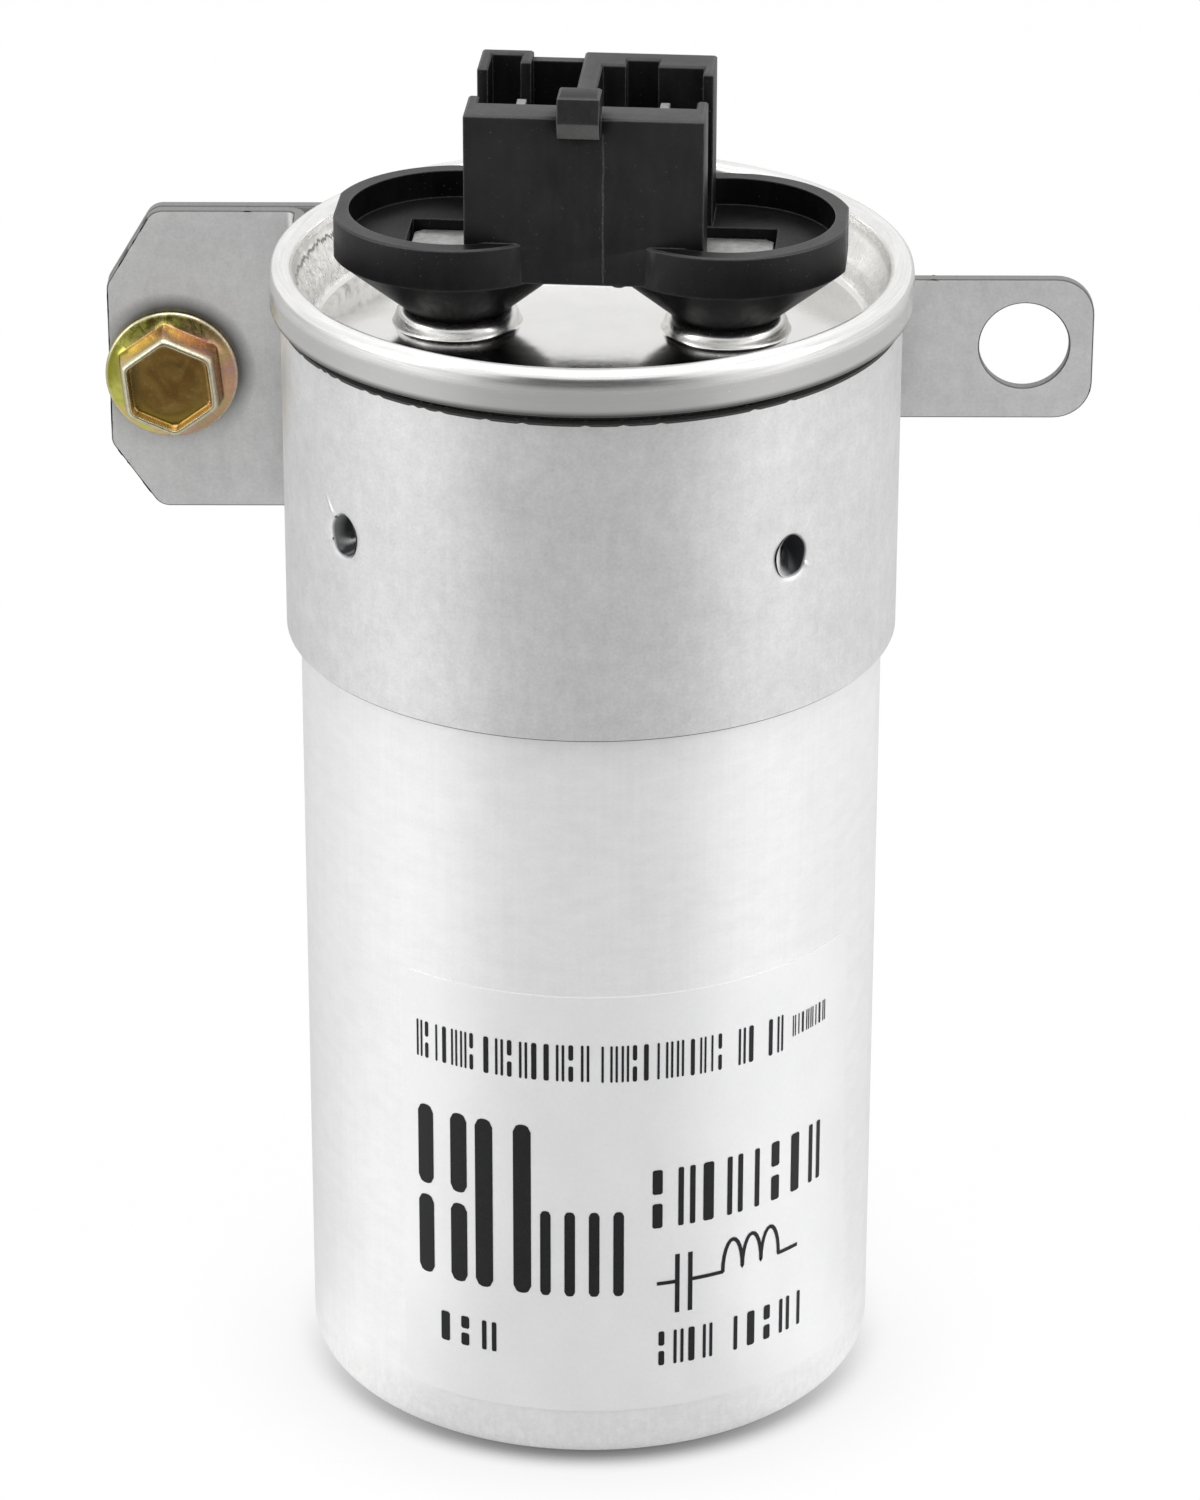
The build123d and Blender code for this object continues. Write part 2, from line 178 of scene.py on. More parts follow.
class Nodes:
    """A node tree under construction: short calls that add and join its nodes."""

    def __init__(self, tree):
        self.tree = tree

    def node(self, kind, inputs=(), **settings):
        made = self.tree.nodes.new("ShaderNode" + kind)
        for key, value in settings.items():
            setattr(made, key, value)
        for key, value in dict(inputs).items():
            self.join(value, made.inputs[key])
        return made

    def join(self, value, socket):
        if isinstance(value, bpy.types.NodeSocket):
            self.tree.links.new(value, socket)
        else:
            socket.default_value = value

    def split(self, vector):
        """A vector's X, Y and Z."""
        return tuple(self.node("SeparateXYZ", {"Vector": vector}).outputs)

    def maths(self, operation, a, b=None, clamp=False):
        made = self.node("Math", operation=operation, use_clamp=clamp)
        self.join(a, made.inputs[0])
        if b is not None:
            self.join(b, made.inputs[1])
        return made.outputs[0]

    def times(self, a, b):
        return self.maths("MULTIPLY", a, b)

    def plus(self, a, b, clamp=False):
        return self.maths("ADD", a, b, clamp)

    def minus(self, a, b):
        return self.maths("SUBTRACT", a, b)

    def length(self, a, b):
        """The length of the way that is a long one way and b across it."""
        return self.maths("SQRT", self.plus(self.times(a, a), self.times(b, b)))

    def blend(self, *parts):
        """The sum of values, each times its share."""
        total = 0.0
        for value, share in parts:
            total = self.plus(self.times(value, share), total)
        return total

    def range(self, value, low, high, to_low=0.0, to_high=1.0, **settings):
        """The value, mapped so that low gives to_low and high gives to_high."""
        return self.node("MapRange", {
            "Value": value, "From Min": low, "From Max": high,
            "To Min": to_low, "To Max": to_high}, **settings).outputs[0]

    def ramp(self, value, *stops):
        """A colour, or a grey, by stops of (value, colour)."""
        made = self.node("ValToRGB", {"Fac": value})
        points = made.color_ramp.elements
        while len(points) < len(stops):
            points.new(0.5)
        for point, (where, colour) in zip(points, stops):
            point.position = where
            point.color = colour if isinstance(colour, tuple) else grey(colour)
        return made.outputs[0]

    def mix(self, share, a, b, blend="MIX"):
        made = self.node("Mix", data_type="RGBA", blend_type=blend)
        self.join(share, made.inputs[0])
        self.join(a, made.inputs[6])
        self.join(b, made.inputs[7])
        return made.outputs[2]

    def mix_shader(self, share, a, b):
        made = self.node("MixShader", {"Fac": share})
        self.join(a, made.inputs[1])
        self.join(b, made.inputs[2])
        return made.outputs[0]

    def by_ray(self, plain, mirrored, shown):
        """One shader that lights things, one that metal mirrors and one for the camera."""
        rays = self.node("LightPath").outputs
        reflected = self.plus(rays["Is Glossy Ray"], rays["Is Transmission Ray"], clamp=True)
        return self.mix_shader(rays["Is Camera Ray"], self.mix_shader(reflected, plain, mirrored), shown)


class Paint(Nodes):
    """A material under construction. Its lengths are in millimetres."""

    def __init__(self, name):
        self.material = bpy.data.materials.new(name)
        self.material.use_nodes = True
        super().__init__(self.material.node_tree)
        self.shader = self.tree.nodes["Principled BSDF"]

    def place(self):
        """The row frame's position."""
        return self.scaled(self.node("TexCoord").outputs["Object"], (1000, 1000, 1000))

    def around(self, radius):
        """The position on a cylinder: along the arc and up."""
        x, y, z = self.split(self.place())
        angle = self.maths("ARCTAN2", x, self.times(y, -1.0))
        return self.node("CombineXYZ", {"X": self.times(angle, radius), "Y": z}).outputs[0]

    def sheet(self):
        """The position on the unfolded strap."""
        return self.node("Attribute", attribute_name="sheet").outputs["Vector"]

    def scaled(self, vector, scale, shift=(0, 0, 0)):
        return self.node("Mapping", {"Vector": vector, "Scale": scale, "Location": shift}).outputs[0]

    def noise(self, vector, scale, detail, roughness, distortion=0.0, shift=(0, 0, 0)):
        """A noise with as many waves to a millimetre as scale says, along each axis."""
        return self.node("TexNoise", {
            "Vector": self.scaled(vector, scale, shift), "Scale": 1.0, "Detail": detail,
            "Roughness": roughness, "Distortion": distortion}).outputs[0]

    def openness(self, distance, samples):
        """1 in the open, and less where something is nearer than the distance."""
        return self.node("AmbientOcclusion", {"Distance": distance * MM}, samples=samples).outputs["AO"]

    def edge(self, radius):
        """A normal that rounds the sharp edges."""
        return self.node("Bevel", {"Radius": radius * MM}, samples=6).outputs[0]

    def edge_mask(self, radius):
        """1 on the sharp edges and 0 on the faces."""
        turned = self.node("VectorMath", operation="DOT_PRODUCT")
        self.join(self.edge(radius), turned.inputs[0])
        self.join(self.node("NewGeometry").outputs["Normal"], turned.inputs[1])
        return self.range(turned.outputs["Value"], 0.995, 0.90)

    def bump(self, height, strength, distance, normal=None):
        inputs = {"Height": height, "Strength": strength, "Distance": distance * MM}
        if normal is not None:
            inputs["Normal"] = normal
        return self.node("Bump", inputs).outputs[0]

    def shade(self, colour, rough, normal, metal=0.0, gloss=0.5):
        """The finished material, from what its shader takes."""
        values = {"Base Color": colour, "Roughness": rough, "Normal": normal,
                  "Metallic": metal, "Specular IOR Level": gloss}
        for key, value in values.items():
            self.join(value, self.shader.inputs[key])
        return self.material


def can_material():
    paint = Paint("satin_aluminium")
    around = paint.around(CAN_R)
    z = paint.split(paint.place())[2]
    streaks = paint.noise(around, (2.2, 0.05, 1), 5.0, 0.7)
    fine = paint.noise(around, (7.0, 0.5, 1), 3.0, 0.6)
    cloud = paint.noise(around, (0.10, 0.07, 1), 4.0, 0.6)
    blotch = paint.noise(around, (0.35, 0.8, 1), 4.0, 0.65)
    grain = paint.noise(around, (4.0, 4.0, 1), 2.0, 0.7)
    tone = paint.blend((streaks, 0.2), (cloud, 0.25), (blotch, 0.3), (grain, 0.25))
    colour = paint.ramp(tone, (0.38, (0.825, 0.825, 0.828, 1)), (0.60, (0.915, 0.915, 0.912, 1)))
    scuffs = paint.noise(around, (1.5, 0.9, 1), 5.0, 0.75)
    foot = paint.range(z, 5.5, 3.0)
    scuffed = paint.times(foot, paint.range(scuffs, 0.40, 0.62))
    colour = paint.mix(paint.times(scuffed, 0.5), colour, (0.74, 0.74, 0.735, 1))
    # painted shade: the gap under the seam is coloured near black and made less metallic, for the shadow that
    # falls under the seam
    gap = paint.range(z, 97.25, 97.5)
    gap_shade = paint.ramp(grain, (0.35, (0.02, 0.02, 0.019, 1)), (0.65, (0.06, 0.058, 0.054, 1)))
    colour = paint.mix(gap, colour, gap_shade)
    rough = paint.range(paint.blend((fine, 0.5), (cloud, 0.5)), 0.35, 0.65, 0.30, 0.38)
    height = paint.blend((streaks, 0.5), (fine, 0.2), (blotch, 0.3))
    normal = paint.bump(height, 0.10, 0.05)
    metal = paint.range(gap, 0.0, 1.0, 0.50, 0.0)
    return paint.shade(colour, rough, normal, metal, 0.1)


def lid_material():
    paint = Paint("bright_lid")
    place = paint.place()
    x, y, z = paint.split(place)
    reach = paint.length(x, y)
    seam = paint.range(reach, 24.9, 25.2)
    wall = paint.times(paint.range(reach, 23.3, 23.7), paint.range(reach, 25.25, 25.0))
    cloud = paint.noise(place, (0.12, 0.12, 0.12), 3.0, 0.55)
    ripple = paint.noise(place, (0.22, 0.22, 0.22), 2.0, 0.5)
    specks = paint.noise(place, (2.4, 2.4, 2.4), 4.0, 0.7)
    # fine lines run along the rolled rim: the arc's length against the way over its section
    arc = paint.split(paint.around(CAN_R))[0]
    rolled = paint.node("CombineXYZ", {"X": arc, "Y": paint.minus(z, reach)}).outputs[0]
    lines = paint.noise(rolled, (0.20, 5.0, 1), 4.0, 0.7)
    waves = paint.noise(rolled, (0.12, 0.9, 1), 3.0, 0.6)
    drawn = paint.noise(rolled, (2.6, 0.5, 1), 4.0, 0.7)
    satin = paint.times(paint.blend((lines, 0.6), (waves, 0.4)), paint.maths("MAXIMUM", seam, wall))
    plain = paint.ramp(paint.blend((cloud, 0.7), (specks, 0.3)),
                       (0.36, (0.75, 0.745, 0.73, 1)), (0.62, (0.81, 0.805, 0.79, 1)))
    brushed = paint.ramp(satin, (0.36, (0.77, 0.768, 0.76, 1)), (0.62, (0.93, 0.928, 0.92, 1)))
    colour = paint.mix(seam, plain, brushed)
    # the seam's outer face is duller than its crown, and painted shade darkens it from the crown down; its
    # lower lip, in the gap under the seam, is painted near black as shade
    face = paint.times(seam, paint.range(z, 101.2, 100.6))
    colour = paint.mix(paint.times(face, 0.85), colour, (0.455, 0.455, 0.447, 1))
    lip = paint.times(seam, paint.range(z, 99.2, 98.75))
    colour = paint.mix(lip, colour, (0.07, 0.07, 0.068, 1))
    # the inner wall: rougher on its slope and darkened there by painted shade, and crumpled below a torn line
    # on the left
    shaded_wall = paint.ramp(drawn, (0.35, (0.52, 0.515, 0.50, 1)), (0.62, (0.78, 0.775, 0.76, 1)))
    colour = paint.mix(paint.times(wall, 0.45), colour, shaded_wall)
    left = paint.times(wall, paint.range(x, -7.0, -13.0))
    crumple = paint.noise(place, (1.5, 1.5, 0.8), 5.0, 0.78, 1.0)
    jagged = paint.noise(rolled, (0.9, 0.0, 1), 4.0, 0.7)
    ledge = paint.plus(z, paint.range(jagged, 0.3, 0.7, -0.55, 0.55))
    below = paint.times(left, paint.range(ledge, 100.45, 100.25))
    line = paint.times(paint.range(ledge, 100.12, 100.26), paint.range(ledge, 100.52, 100.38))
    torn = paint.times(left, line)
    pale = paint.times(below, paint.range(crumple, 0.40, 0.60))
    colour = paint.mix(pale, colour, (0.93, 0.925, 0.90, 1))
    dark = paint.times(below, paint.range(crumple, 0.44, 0.34, 0.0, 0.7))
    colour = paint.mix(dark, colour, (0.26, 0.25, 0.23, 1))
    colour = paint.mix(paint.times(torn, 0.75), colour, (0.13, 0.125, 0.12, 1))
    rim_rough = paint.times(seam, paint.range(satin, 0.3, 0.7, 0.06, 0.15))
    rough = paint.plus(paint.range(specks, 0.35, 0.7, 0.09, 0.15), rim_rough)
    rough = paint.plus(rough, paint.times(wall, 0.17))
    boss = paint.times(paint.range(z, 96.35, 96.5), paint.maths("LESS_THAN", reach, 20.0))
    rough = paint.plus(rough, paint.times(boss, 0.13))
    crown = paint.times(seam, paint.range(z, 102.15, 102.4))
    crown = paint.times(crown, paint.range(y, -8.0, -22.0))
    metal = paint.minus(1.0, paint.blend((face, 0.40), (crown, 0.55)))
    height = paint.blend((ripple, 0.7), (specks, 0.03), (satin, 0.22))
    crumpled = paint.times(below, paint.plus(paint.times(crumple, 2.8), 0.6))
    height = paint.plus(height, crumpled)
    normal = paint.bump(height, 0.25, 0.12)
    return paint.shade(colour, rough, normal, metal)


def strap_material():
    paint = Paint("zinc_coated_sheet")
    sheet = paint.sheet()
    side = paint.split(sheet)[2]
    in_mark = paint.maths("GREATER_THAN", side, 5.0)
    side = paint.maths("ABSOLUTE", side)
    spangle = paint.noise(sheet, (0.75, 0.65, 0), 4.0, 0.7)
    across = paint.noise(sheet, (0.85, 0.22, 0), 4.0, 0.7)
    cloud = paint.noise(sheet, (0.10, 0.13, 0), 5.0, 0.6)
    specks = paint.noise(sheet, (3.4, 3.4, 0), 3.0, 0.7)
    tone = paint.blend((spangle, 0.28), (across, 0.18), (cloud, 0.24), (specks, 0.30))
    colour = paint.ramp(tone, (0.36, (0.635, 0.638, 0.636, 1)), (0.62, (0.825, 0.827, 0.824, 1)))
    shade = paint.openness(4.5, 8)
    outside = paint.minus(1.0, in_mark)
    shade = paint.times(paint.range(shade, 0.15, 0.95, 0.50, 0.0), outside)
    colour = paint.mix(shade, colour, grey(0.20))
    # painted shadow: the shadow and dark reflection of the screw's flange, painted on the front of the ear,
    # up and right from the flange
    x, y, z = paint.split(paint.place())
    x = paint.minus(x, SCREW.x)
    z = paint.minus(z, SCREW.z)
    reach = paint.length(x, z)
    way = paint.maths("DIVIDE", paint.blend((x, 0.62), (z, 0.78)), reach)
    smear = paint.times(paint.range(reach, 7.5, 6.1), paint.range(way, -0.35, 0.6, 0.12, 1.0))
    smear = paint.times(smear, paint.maths("LESS_THAN", y, SCREW.y + 0.2))
    colour = paint.mix(paint.times(smear, 0.86), colour, (0.10, 0.10, 0.105, 1))
    # the cut edges are grey between two dark lines: partly the cut edge's own dull grey, partly painted shade
    cut = paint.times(paint.range(side, 0.999, 0.96), outside)
    lines = paint.ramp(side, (0.02, (0.25, 0.25, 0.245, 1)), (0.25, (0.07, 0.07, 0.07, 1)))
    cut_edge_and_shade = paint.mix(paint.range(specks, 0.35, 0.6, 0.0, 0.25), lines, (0.12, 0.12, 0.118, 1))
    colour = paint.mix(paint.times(cut, 0.93), colour, cut_edge_and_shade)
    # painted shade and light: inside the pierced marks the shade, with a lit crescent left lighter, is
    # written on the mesh
    colour = paint.mix(paint.range(side, 10.0, 11.0), colour, (0.03, 0.031, 0.034, 1))
    rough = paint.range(paint.blend((cloud, 0.5), (specks, 0.5)), 0.35, 0.65, 0.30, 0.38)
    rough = paint.plus(rough, paint.times(cut, 0.25))
    height = paint.blend((spangle, 0.35), (specks, 0.45), (across, 0.2))
    normal = paint.bump(height, 0.16, 0.05)
    metal = paint.range(in_mark, 0.0, 1.0, 0.68, 0.15)
    return paint.shade(colour, rough, normal, metal, 0.1)


def housing_material():
    paint = Paint("black_moulding")
    place = paint.place()
    x, y, z = paint.split(place)
    cloud = paint.noise(place, (0.25, 0.25, 0.25), 4.0, 0.6)
    grain = paint.noise(place, (6.0, 6.0, 6.0), 3.0, 0.7)
    smear = paint.noise(place, (1.2, 1.2, 0.25), 4.0, 0.7)
    dust = paint.noise(place, (4.5, 4.5, 4.5), 2.0, 0.5, shift=(2.2, 5.1, 0.3))
    colour = paint.ramp(paint.blend((cloud, 0.5), (smear, 0.5)),
                        (0.35, (0.0035, 0.0035, 0.004, 1)), (0.68, (0.0085, 0.0085, 0.009, 1)))
    # the mould's parting line runs down the socket's front wall, right of the key
    wander = paint.range(smear, 0.3, 0.7, -0.1, 0.1)
    u = paint.blend((x, math.cos(TURN)), (y, math.sin(TURN)), (wander, 1.0))
    v = paint.blend((x, -math.sin(TURN)), (y, math.cos(TURN)))
    off = paint.maths("ABSOLUTE", paint.minus(u, 1.62))
    parting = paint.times(paint.range(off, 0.11, 0.04), paint.maths("LESS_THAN", v, -8.3))
    parting = paint.times(parting, paint.maths("LESS_THAN", z, 116.2))
    line = paint.times(parting, paint.range(grain, 0.35, 0.6, 0.25, 0.9))
    colour = paint.mix(line, colour, (0.06, 0.06, 0.062, 1))
    colour = paint.mix(paint.range(dust, 0.71, 0.76, 0.0, 0.8), colour, (0.08, 0.08, 0.08, 1))
    # painted highlight: the sharp edges are coloured lighter, broken up by the grain
    edge_highlight = paint.edge_mask(0.22)
    edge_highlight = paint.times(edge_highlight, paint.range(grain, 0.35, 0.6, 0.3, 1.0))
    colour = paint.mix(edge_highlight, colour, (0.085, 0.085, 0.088, 1))
    rough = paint.range(paint.blend((cloud, 0.35), (grain, 0.35), (smear, 0.3)), 0.38, 0.62, 0.36, 0.50)
    open_sky = paint.openness(14, 8)
    gloss = paint.range(open_sky, 0.60, 0.97, 0.10, 0.56)
    height = paint.blend((grain, 0.7), (smear, 0.3), (parting, 0.8))
    normal = paint.bump(height, 0.22, 0.03, paint.edge(0.14))
    return paint.shade(colour, rough, normal, gloss=gloss)


def blade_material():
    paint = Paint("tin_plate")
    place = paint.place()
    cloud = paint.noise(place, (0.6, 0.6, 0.6), 4.0, 0.6)
    smear = paint.noise(place, (1.2, 3.0, 1.2), 4.0, 0.7)
    frost = paint.noise(place, (5.0, 5.0, 5.0), 4.0, 0.75)
    colour = paint.ramp(paint.blend((cloud, 0.35), (smear, 0.3), (frost, 0.35)),
                        (0.38, (0.42, 0.42, 0.41, 1)), (0.60, (0.72, 0.72, 0.70, 1)))
    rough = paint.range(frost, 0.3, 0.7, 0.30, 0.50)
    normal = paint.bump(paint.blend((smear, 0.4), (frost, 0.6)), 0.5, 0.08, paint.edge(0.10))
    return paint.shade(colour, rough, normal, 1.0)


def screw_material():
    """Yellow zinc: the film's colour shifts from olive to pink, and the head's rim, sides
    and dished top each catch it in their own tone; the sides carry painted shade on the right, and the dished
    top painted light below and painted shade on the left."""
    paint = Paint("yellow_zinc")
    place = paint.place()
    x, y, z = paint.split(place)
    x = paint.minus(x, SCREW.x)
    z = paint.minus(z, SCREW.z)
    out = paint.minus(SCREW.y, y)
    reach = paint.length(x, z)
    # along a line that falls to the right: olive and green, then tan, then pink
    film = paint.noise(place, (0.30, 0.30, 0.30), 3.0, 0.55, 0.8, shift=(3.1, 0.4, 1.7))
    film = paint.blend((paint.range(film, 0.3, 0.7, 0.0, 0.55), 1.0), (x, 0.055), (z, -0.030), (0.22, 1.0))
    colour = paint.ramp(film,
                        (0.0, (0.30, 0.29, 0.045, 1)), (0.28, (0.50, 0.50, 0.11, 1)),
                        (0.5, (0.58, 0.46, 0.17, 1)), (0.72, (0.62, 0.36, 0.22, 1)),
                        (1.0, (0.55, 0.33, 0.28, 1)))
    streak = paint.noise(place, (0.9, 0.9, 0.5), 5.0, 0.7, 1.4, shift=(0.3, 0.9, 2.7))
    dull = paint.times(paint.range(z, 2.4, 4.4), paint.range(streak, 0.42, 0.56, 1.0, 0.15))
    colour = paint.mix(paint.times(dull, 0.85), colour, (0.12, 0.085, 0.02, 1))
    low = paint.times(paint.range(z, -1.0, -4.5, 0.0, 0.55), paint.range(x, -2.0, 4.0))
    colour = paint.mix(low, colour, (0.20, 0.19, 0.14, 1))
    sides = paint.times(paint.range(out, 1.15, 1.45), paint.range(out, 3.75, 3.6))
    # the hex sides take the film's tone across them, with painted shade darkening the right-hand side
    side_tone_and_shade = paint.ramp(paint.range(x, -5.0, 5.0),
                      (0.0, (0.42, 0.33, 0.15, 1)), (0.2, (0.70, 0.42, 0.22, 1)),
                      (0.48, (0.72, 0.40, 0.26, 1)), (0.80, (0.63, 0.32, 0.24, 1)),
                      (0.92, (0.20, 0.15, 0.07, 1)))
    colour = paint.mix(paint.times(sides, 0.88), colour, side_tone_and_shade)
    floor = paint.times(paint.range(out, 3.60, 3.42), paint.range(reach, 3.95, 3.7))
    floor = paint.times(floor, paint.maths("GREATER_THAN", out, 2.9))
    brown = paint.ramp(paint.noise(place, (0.35, 0.35, 0.35), 3.0, 0.6, 0.8),
                       (0.35, (0.24, 0.135, 0.035, 1)), (0.65, (0.38, 0.24, 0.07, 1)))
    # painted light and shade in the dished top: lighter gold toward its lower edge, darker toward its left
    golden = paint.times(paint.range(z, -0.6, -3.0, 0.0, 0.8), paint.range(reach, 2.2, 3.0))
    brown = paint.mix(golden, brown, (0.42, 0.29, 0.055, 1))
    brown = paint.mix(paint.times(paint.range(x, -2.4, -3.3), 0.6), brown, (0.07, 0.06, 0.02, 1))
    colour = paint.mix(floor, colour, brown)
    scratch = paint.noise(place, (2.2, 2.2, 2.2), 5.0, 0.75)
    rim = paint.times(paint.range(out, 3.72, 3.92), paint.range(reach, 3.35, 3.55))
    rim = paint.times(rim, paint.range(scratch, 0.35, 0.5, 0.6, 1.0))
    edge = paint.times(paint.range(reach, 5.66, 5.82), paint.range(out, 0.3, 0.6, 0.0, 0.8))
    cream = paint.mix(paint.range(scratch, 0.45, 0.62), (0.74, 0.69, 0.50, 1), (0.50, 0.48, 0.38, 1))
    colour = paint.mix(paint.maths("MAXIMUM", rim, edge), colour, cream)
    colour = paint.mix(paint.range(scratch, 0.55, 0.78, 0.0, 0.30), colour, (0.60, 0.55, 0.34, 1))
    rough = paint.range(scratch, 0.3, 0.75, 0.17, 0.34)
    rings = paint.maths("SINE", paint.times(reach, 7.0))
    height = paint.blend((scratch, 0.8), (streak, 0.5))
    height = paint.plus(height, paint.times(floor, paint.times(rings, 0.16)))
    normal = paint.bump(height, 0.20, 0.08, paint.edge(0.08))
    return paint.shade(colour, rough, normal, 1.0)


def label_material():
    paint = Paint("label_film")
    around = paint.around(LABEL_R)
    cloud = paint.noise(around, (0.15, 0.10, 1), 3.0, 0.5)
    fine = paint.noise(around, (3.0, 2.0, 1), 4.0, 0.7)
    colour = paint.ramp(paint.blend((cloud, 0.6), (fine, 0.4)),
                        (0.36, (0.85, 0.85, 0.855, 1)), (0.62, (0.90, 0.90, 0.90, 1)))
    rough = paint.range(fine, 0.3, 0.7, 0.34, 0.42)
    normal = paint.bump(fine, 0.05, 0.03)
    return paint.shade(colour, rough, normal, 0.48, 0.1)


def ink_material():
    paint = Paint("black_ink")
    place = paint.place()
    fine = paint.noise(place, (5.0, 5.0, 5.0), 3.0, 0.6)
    colour = paint.ramp(fine, (0.3, (0.006, 0.006, 0.007, 1)), (0.8, (0.016, 0.016, 0.017, 1)))
    rough = paint.range(fine, 0.3, 0.7, 0.42, 0.55)
    return paint.shade(colour, rough, paint.bump(fine, 0.1, 0.01), gloss=0.3)


# Can

def dented(angle, radius, height):
    """The can's wall, driven in behind the two pierced marks."""
    if radius < 24.0 or not 78.0 < height < 90.0:
        return radius, height
    for mark_angle, mark_height in MARKS:
        turn = (angle - math.radians(mark_angle) + math.pi) % (2 * math.pi) - math.pi
        away = math.hypot(turn * CAN_R, height - mark_height)
        radius -= 1.6 * max(0.0, 1 - (away / 2.5) ** 2)
    return radius, height


def build_can():
    profile = [(0.0, 0.0), (12.0, 0.0), (21.5, 0.0), (23.2, 0.0)]
    profile += arc_points(23.2, 1.8, 1.8, -90, 0, 10)[1:]
    heights = [3.0, 20.0, 40.0, 60.0, 77.0, 79.0] + [80.0 + 0.4 * i for i in range(20)] + [90.0, 98.4]
    profile += [(CAN_R, z) for z in heights]
    can = mesh_object("can_shell", *lathe(profile, 360, shape=dented))
    finish_piece(can, can_material(), ["can"])


# Lid

def wrinkled(angle, radius, height):
    """The rolled rim's small waves, and the rougher stretch of the inner wall on the left."""
    turn = math.degrees(angle)
    if radius > 26.0:
        radius -= 0.03 * (1 + math.sin(3 * angle + 1.0)) / 2
    if 23.4 < radius < 25.1 and 97.6 < height < 101.2:
        near = max(0.0, 1 - abs((turn - 262) / 34.0))
        wave = math.sin(turn * 0.31) * math.sin(turn * 0.83 + height * 1.7)
        radius += 0.07 * near * wave
    return radius, height


def build_lid():
    profile = [(radius, LID_FLOOR) for radius in (0.0, 6.0, 14.0, 20.0, 22.6)]
    profile += arc_points(22.88, 97.1, 0.8, -90, 0, 8)[1:]
    profile += [(23.7, 97.6), (23.71, 98.0), (23.78, 98.4), (24.0, 98.8), (24.3, 99.35), (24.62, 99.95)]
    profile += [(24.86, 100.4), (24.98, 100.7), (25.05, 101.0), (25.12, 101.35)]
    profile += arc_points(26.1, 101.5, 0.99, 172, 8, 18)
    profile += [(27.12, 101.35), (27.15, 100.9), (27.14, 100.2), (27.1, 99.6)]
    profile += arc_points(26.62, 99.0, 0.5, 10, -80, 7)
    profile += [(26.3, 98.45), (25.7, 98.42), (25.02, 98.4)]
    body = lathe(profile, 360, shape=wrinkled)
    boss = [(5.62, 96.25), (5.45, 96.34), (5.36, 96.50), (5.31, 96.72), (5.25, 96.94), (5.17, 97.16)]
    boss += [(5.06, 97.34), (4.92, 97.48), (4.74, 97.58), (4.52, 97.64)]
    boss += [(radius, 97.65) for radius in (4.2, 3.0, 1.2)]
    bosses = [lathe(boss, 96, uv_row(u, 0)) for u in POST_PLACES]
    lid = mesh_object("lid_pressing", *merged(body, *bosses), sharp=50)
    finish_piece(lid, lid_material(), ["lid"])


# Strap

def fillet_path(points, radii):
    """Lines and arcs along a polyline whose inner corners are rounded."""
    parts = []
    start = Vector(points[0])
    for i in range(1, len(points) - 1):
        three = [Vector(point) for point in points[i - 1:i + 2]]
        first, last, centre, a0, bend = corner_arc(*three, radii[i - 1])
        parts.append(("line", start, first))
        parts.append(("arc", centre, radii[i - 1], a0, bend))
        start = last
    parts.append(("line", start, Vector(points[-1])))
    return parts


class Path:
    """A line in the XY plane, in millimetres, read by the distance along it."""

    def __init__(self, parts):
        self.parts, self.starts, total = parts, [], 0.0
        for part in parts:
            self.starts.append(total)
            total += (part[2] - part[1]).length if part[0] == "line" else abs(part[4]) * part[2]
        self.length = total

    def at(self, s):
        """The point, and the direction to the left of the way along."""
        i = max(k for k, start in enumerate(self.starts) if start <= s + 1e-9 or k == 0)
        part, along = self.parts[i], s - self.starts[i]
        if part[0] == "line":
            way = (part[2] - part[1]).normalized()
            return part[1] + way * along, Vector((-way.y, way.x))
        side = 1 if part[4] > 0 else -1
        angle = part[3] + side * along / part[2]
        out = Vector((math.cos(angle), math.sin(angle)))
        return part[1] + out * part[2], out * -side

    def stations(self, straight, curved):
        """Distances along the path, close together on its arcs."""
        marks = [0.0]
        for i, part in enumerate(self.parts):
            end = self.starts[i + 1] if i + 1 < len(self.parts) else self.length
            step = straight if part[0] == "line" else curved
            count = max(1, math.ceil((end - self.starts[i]) / step))
            marks += [self.starts[i] + (end - self.starts[i]) * k / count for k in range(1, count + 1)]
        return marks


def rounded(points, radii, steps=6):
    """A closed outline whose corners are rounded, as a list of 2-D points."""
    loop = []
    n = len(points)
    for i, (corner, radius) in enumerate(zip(points, radii)):
        corner = Vector(corner)
        if radius <= 0:
            loop.append(corner)
            continue
        before, after = Vector(points[i - 1]), Vector(points[(i + 1) % n])
        centre, a0, bend = corner_arc(before, corner, after, radius)[2:]
        for k in range(steps + 1):
            angle = a0 + bend * k / steps
            loop.append(centre + Vector((math.cos(angle), math.sin(angle))) * radius)
    return loop


def densified(loop, step):
    """The same outline with no side longer than the step."""
    dense = []
    for i, point in enumerate(loop):
        after = loop[(i + 1) % len(loop)]
        count = max(1, math.ceil((after - point).length / step))
        dense += [point.lerp(after, k / count) for k in range(count)]
    return dense


def inside(point, loop):
    found = False
    j = len(loop) - 1
    for i in range(len(loop)):
        a, b = loop[i], loop[j]
        if (a.y > point.y) != (b.y > point.y):
            if point.x < (b.x - a.x) * (point.y - a.y) / (b.y - a.y) + a.x:
                found = not found
        j = i
    return found


def near_loop(point, loop, reach):
    return any((point - corner).length_squared < reach * reach for corner in loop)


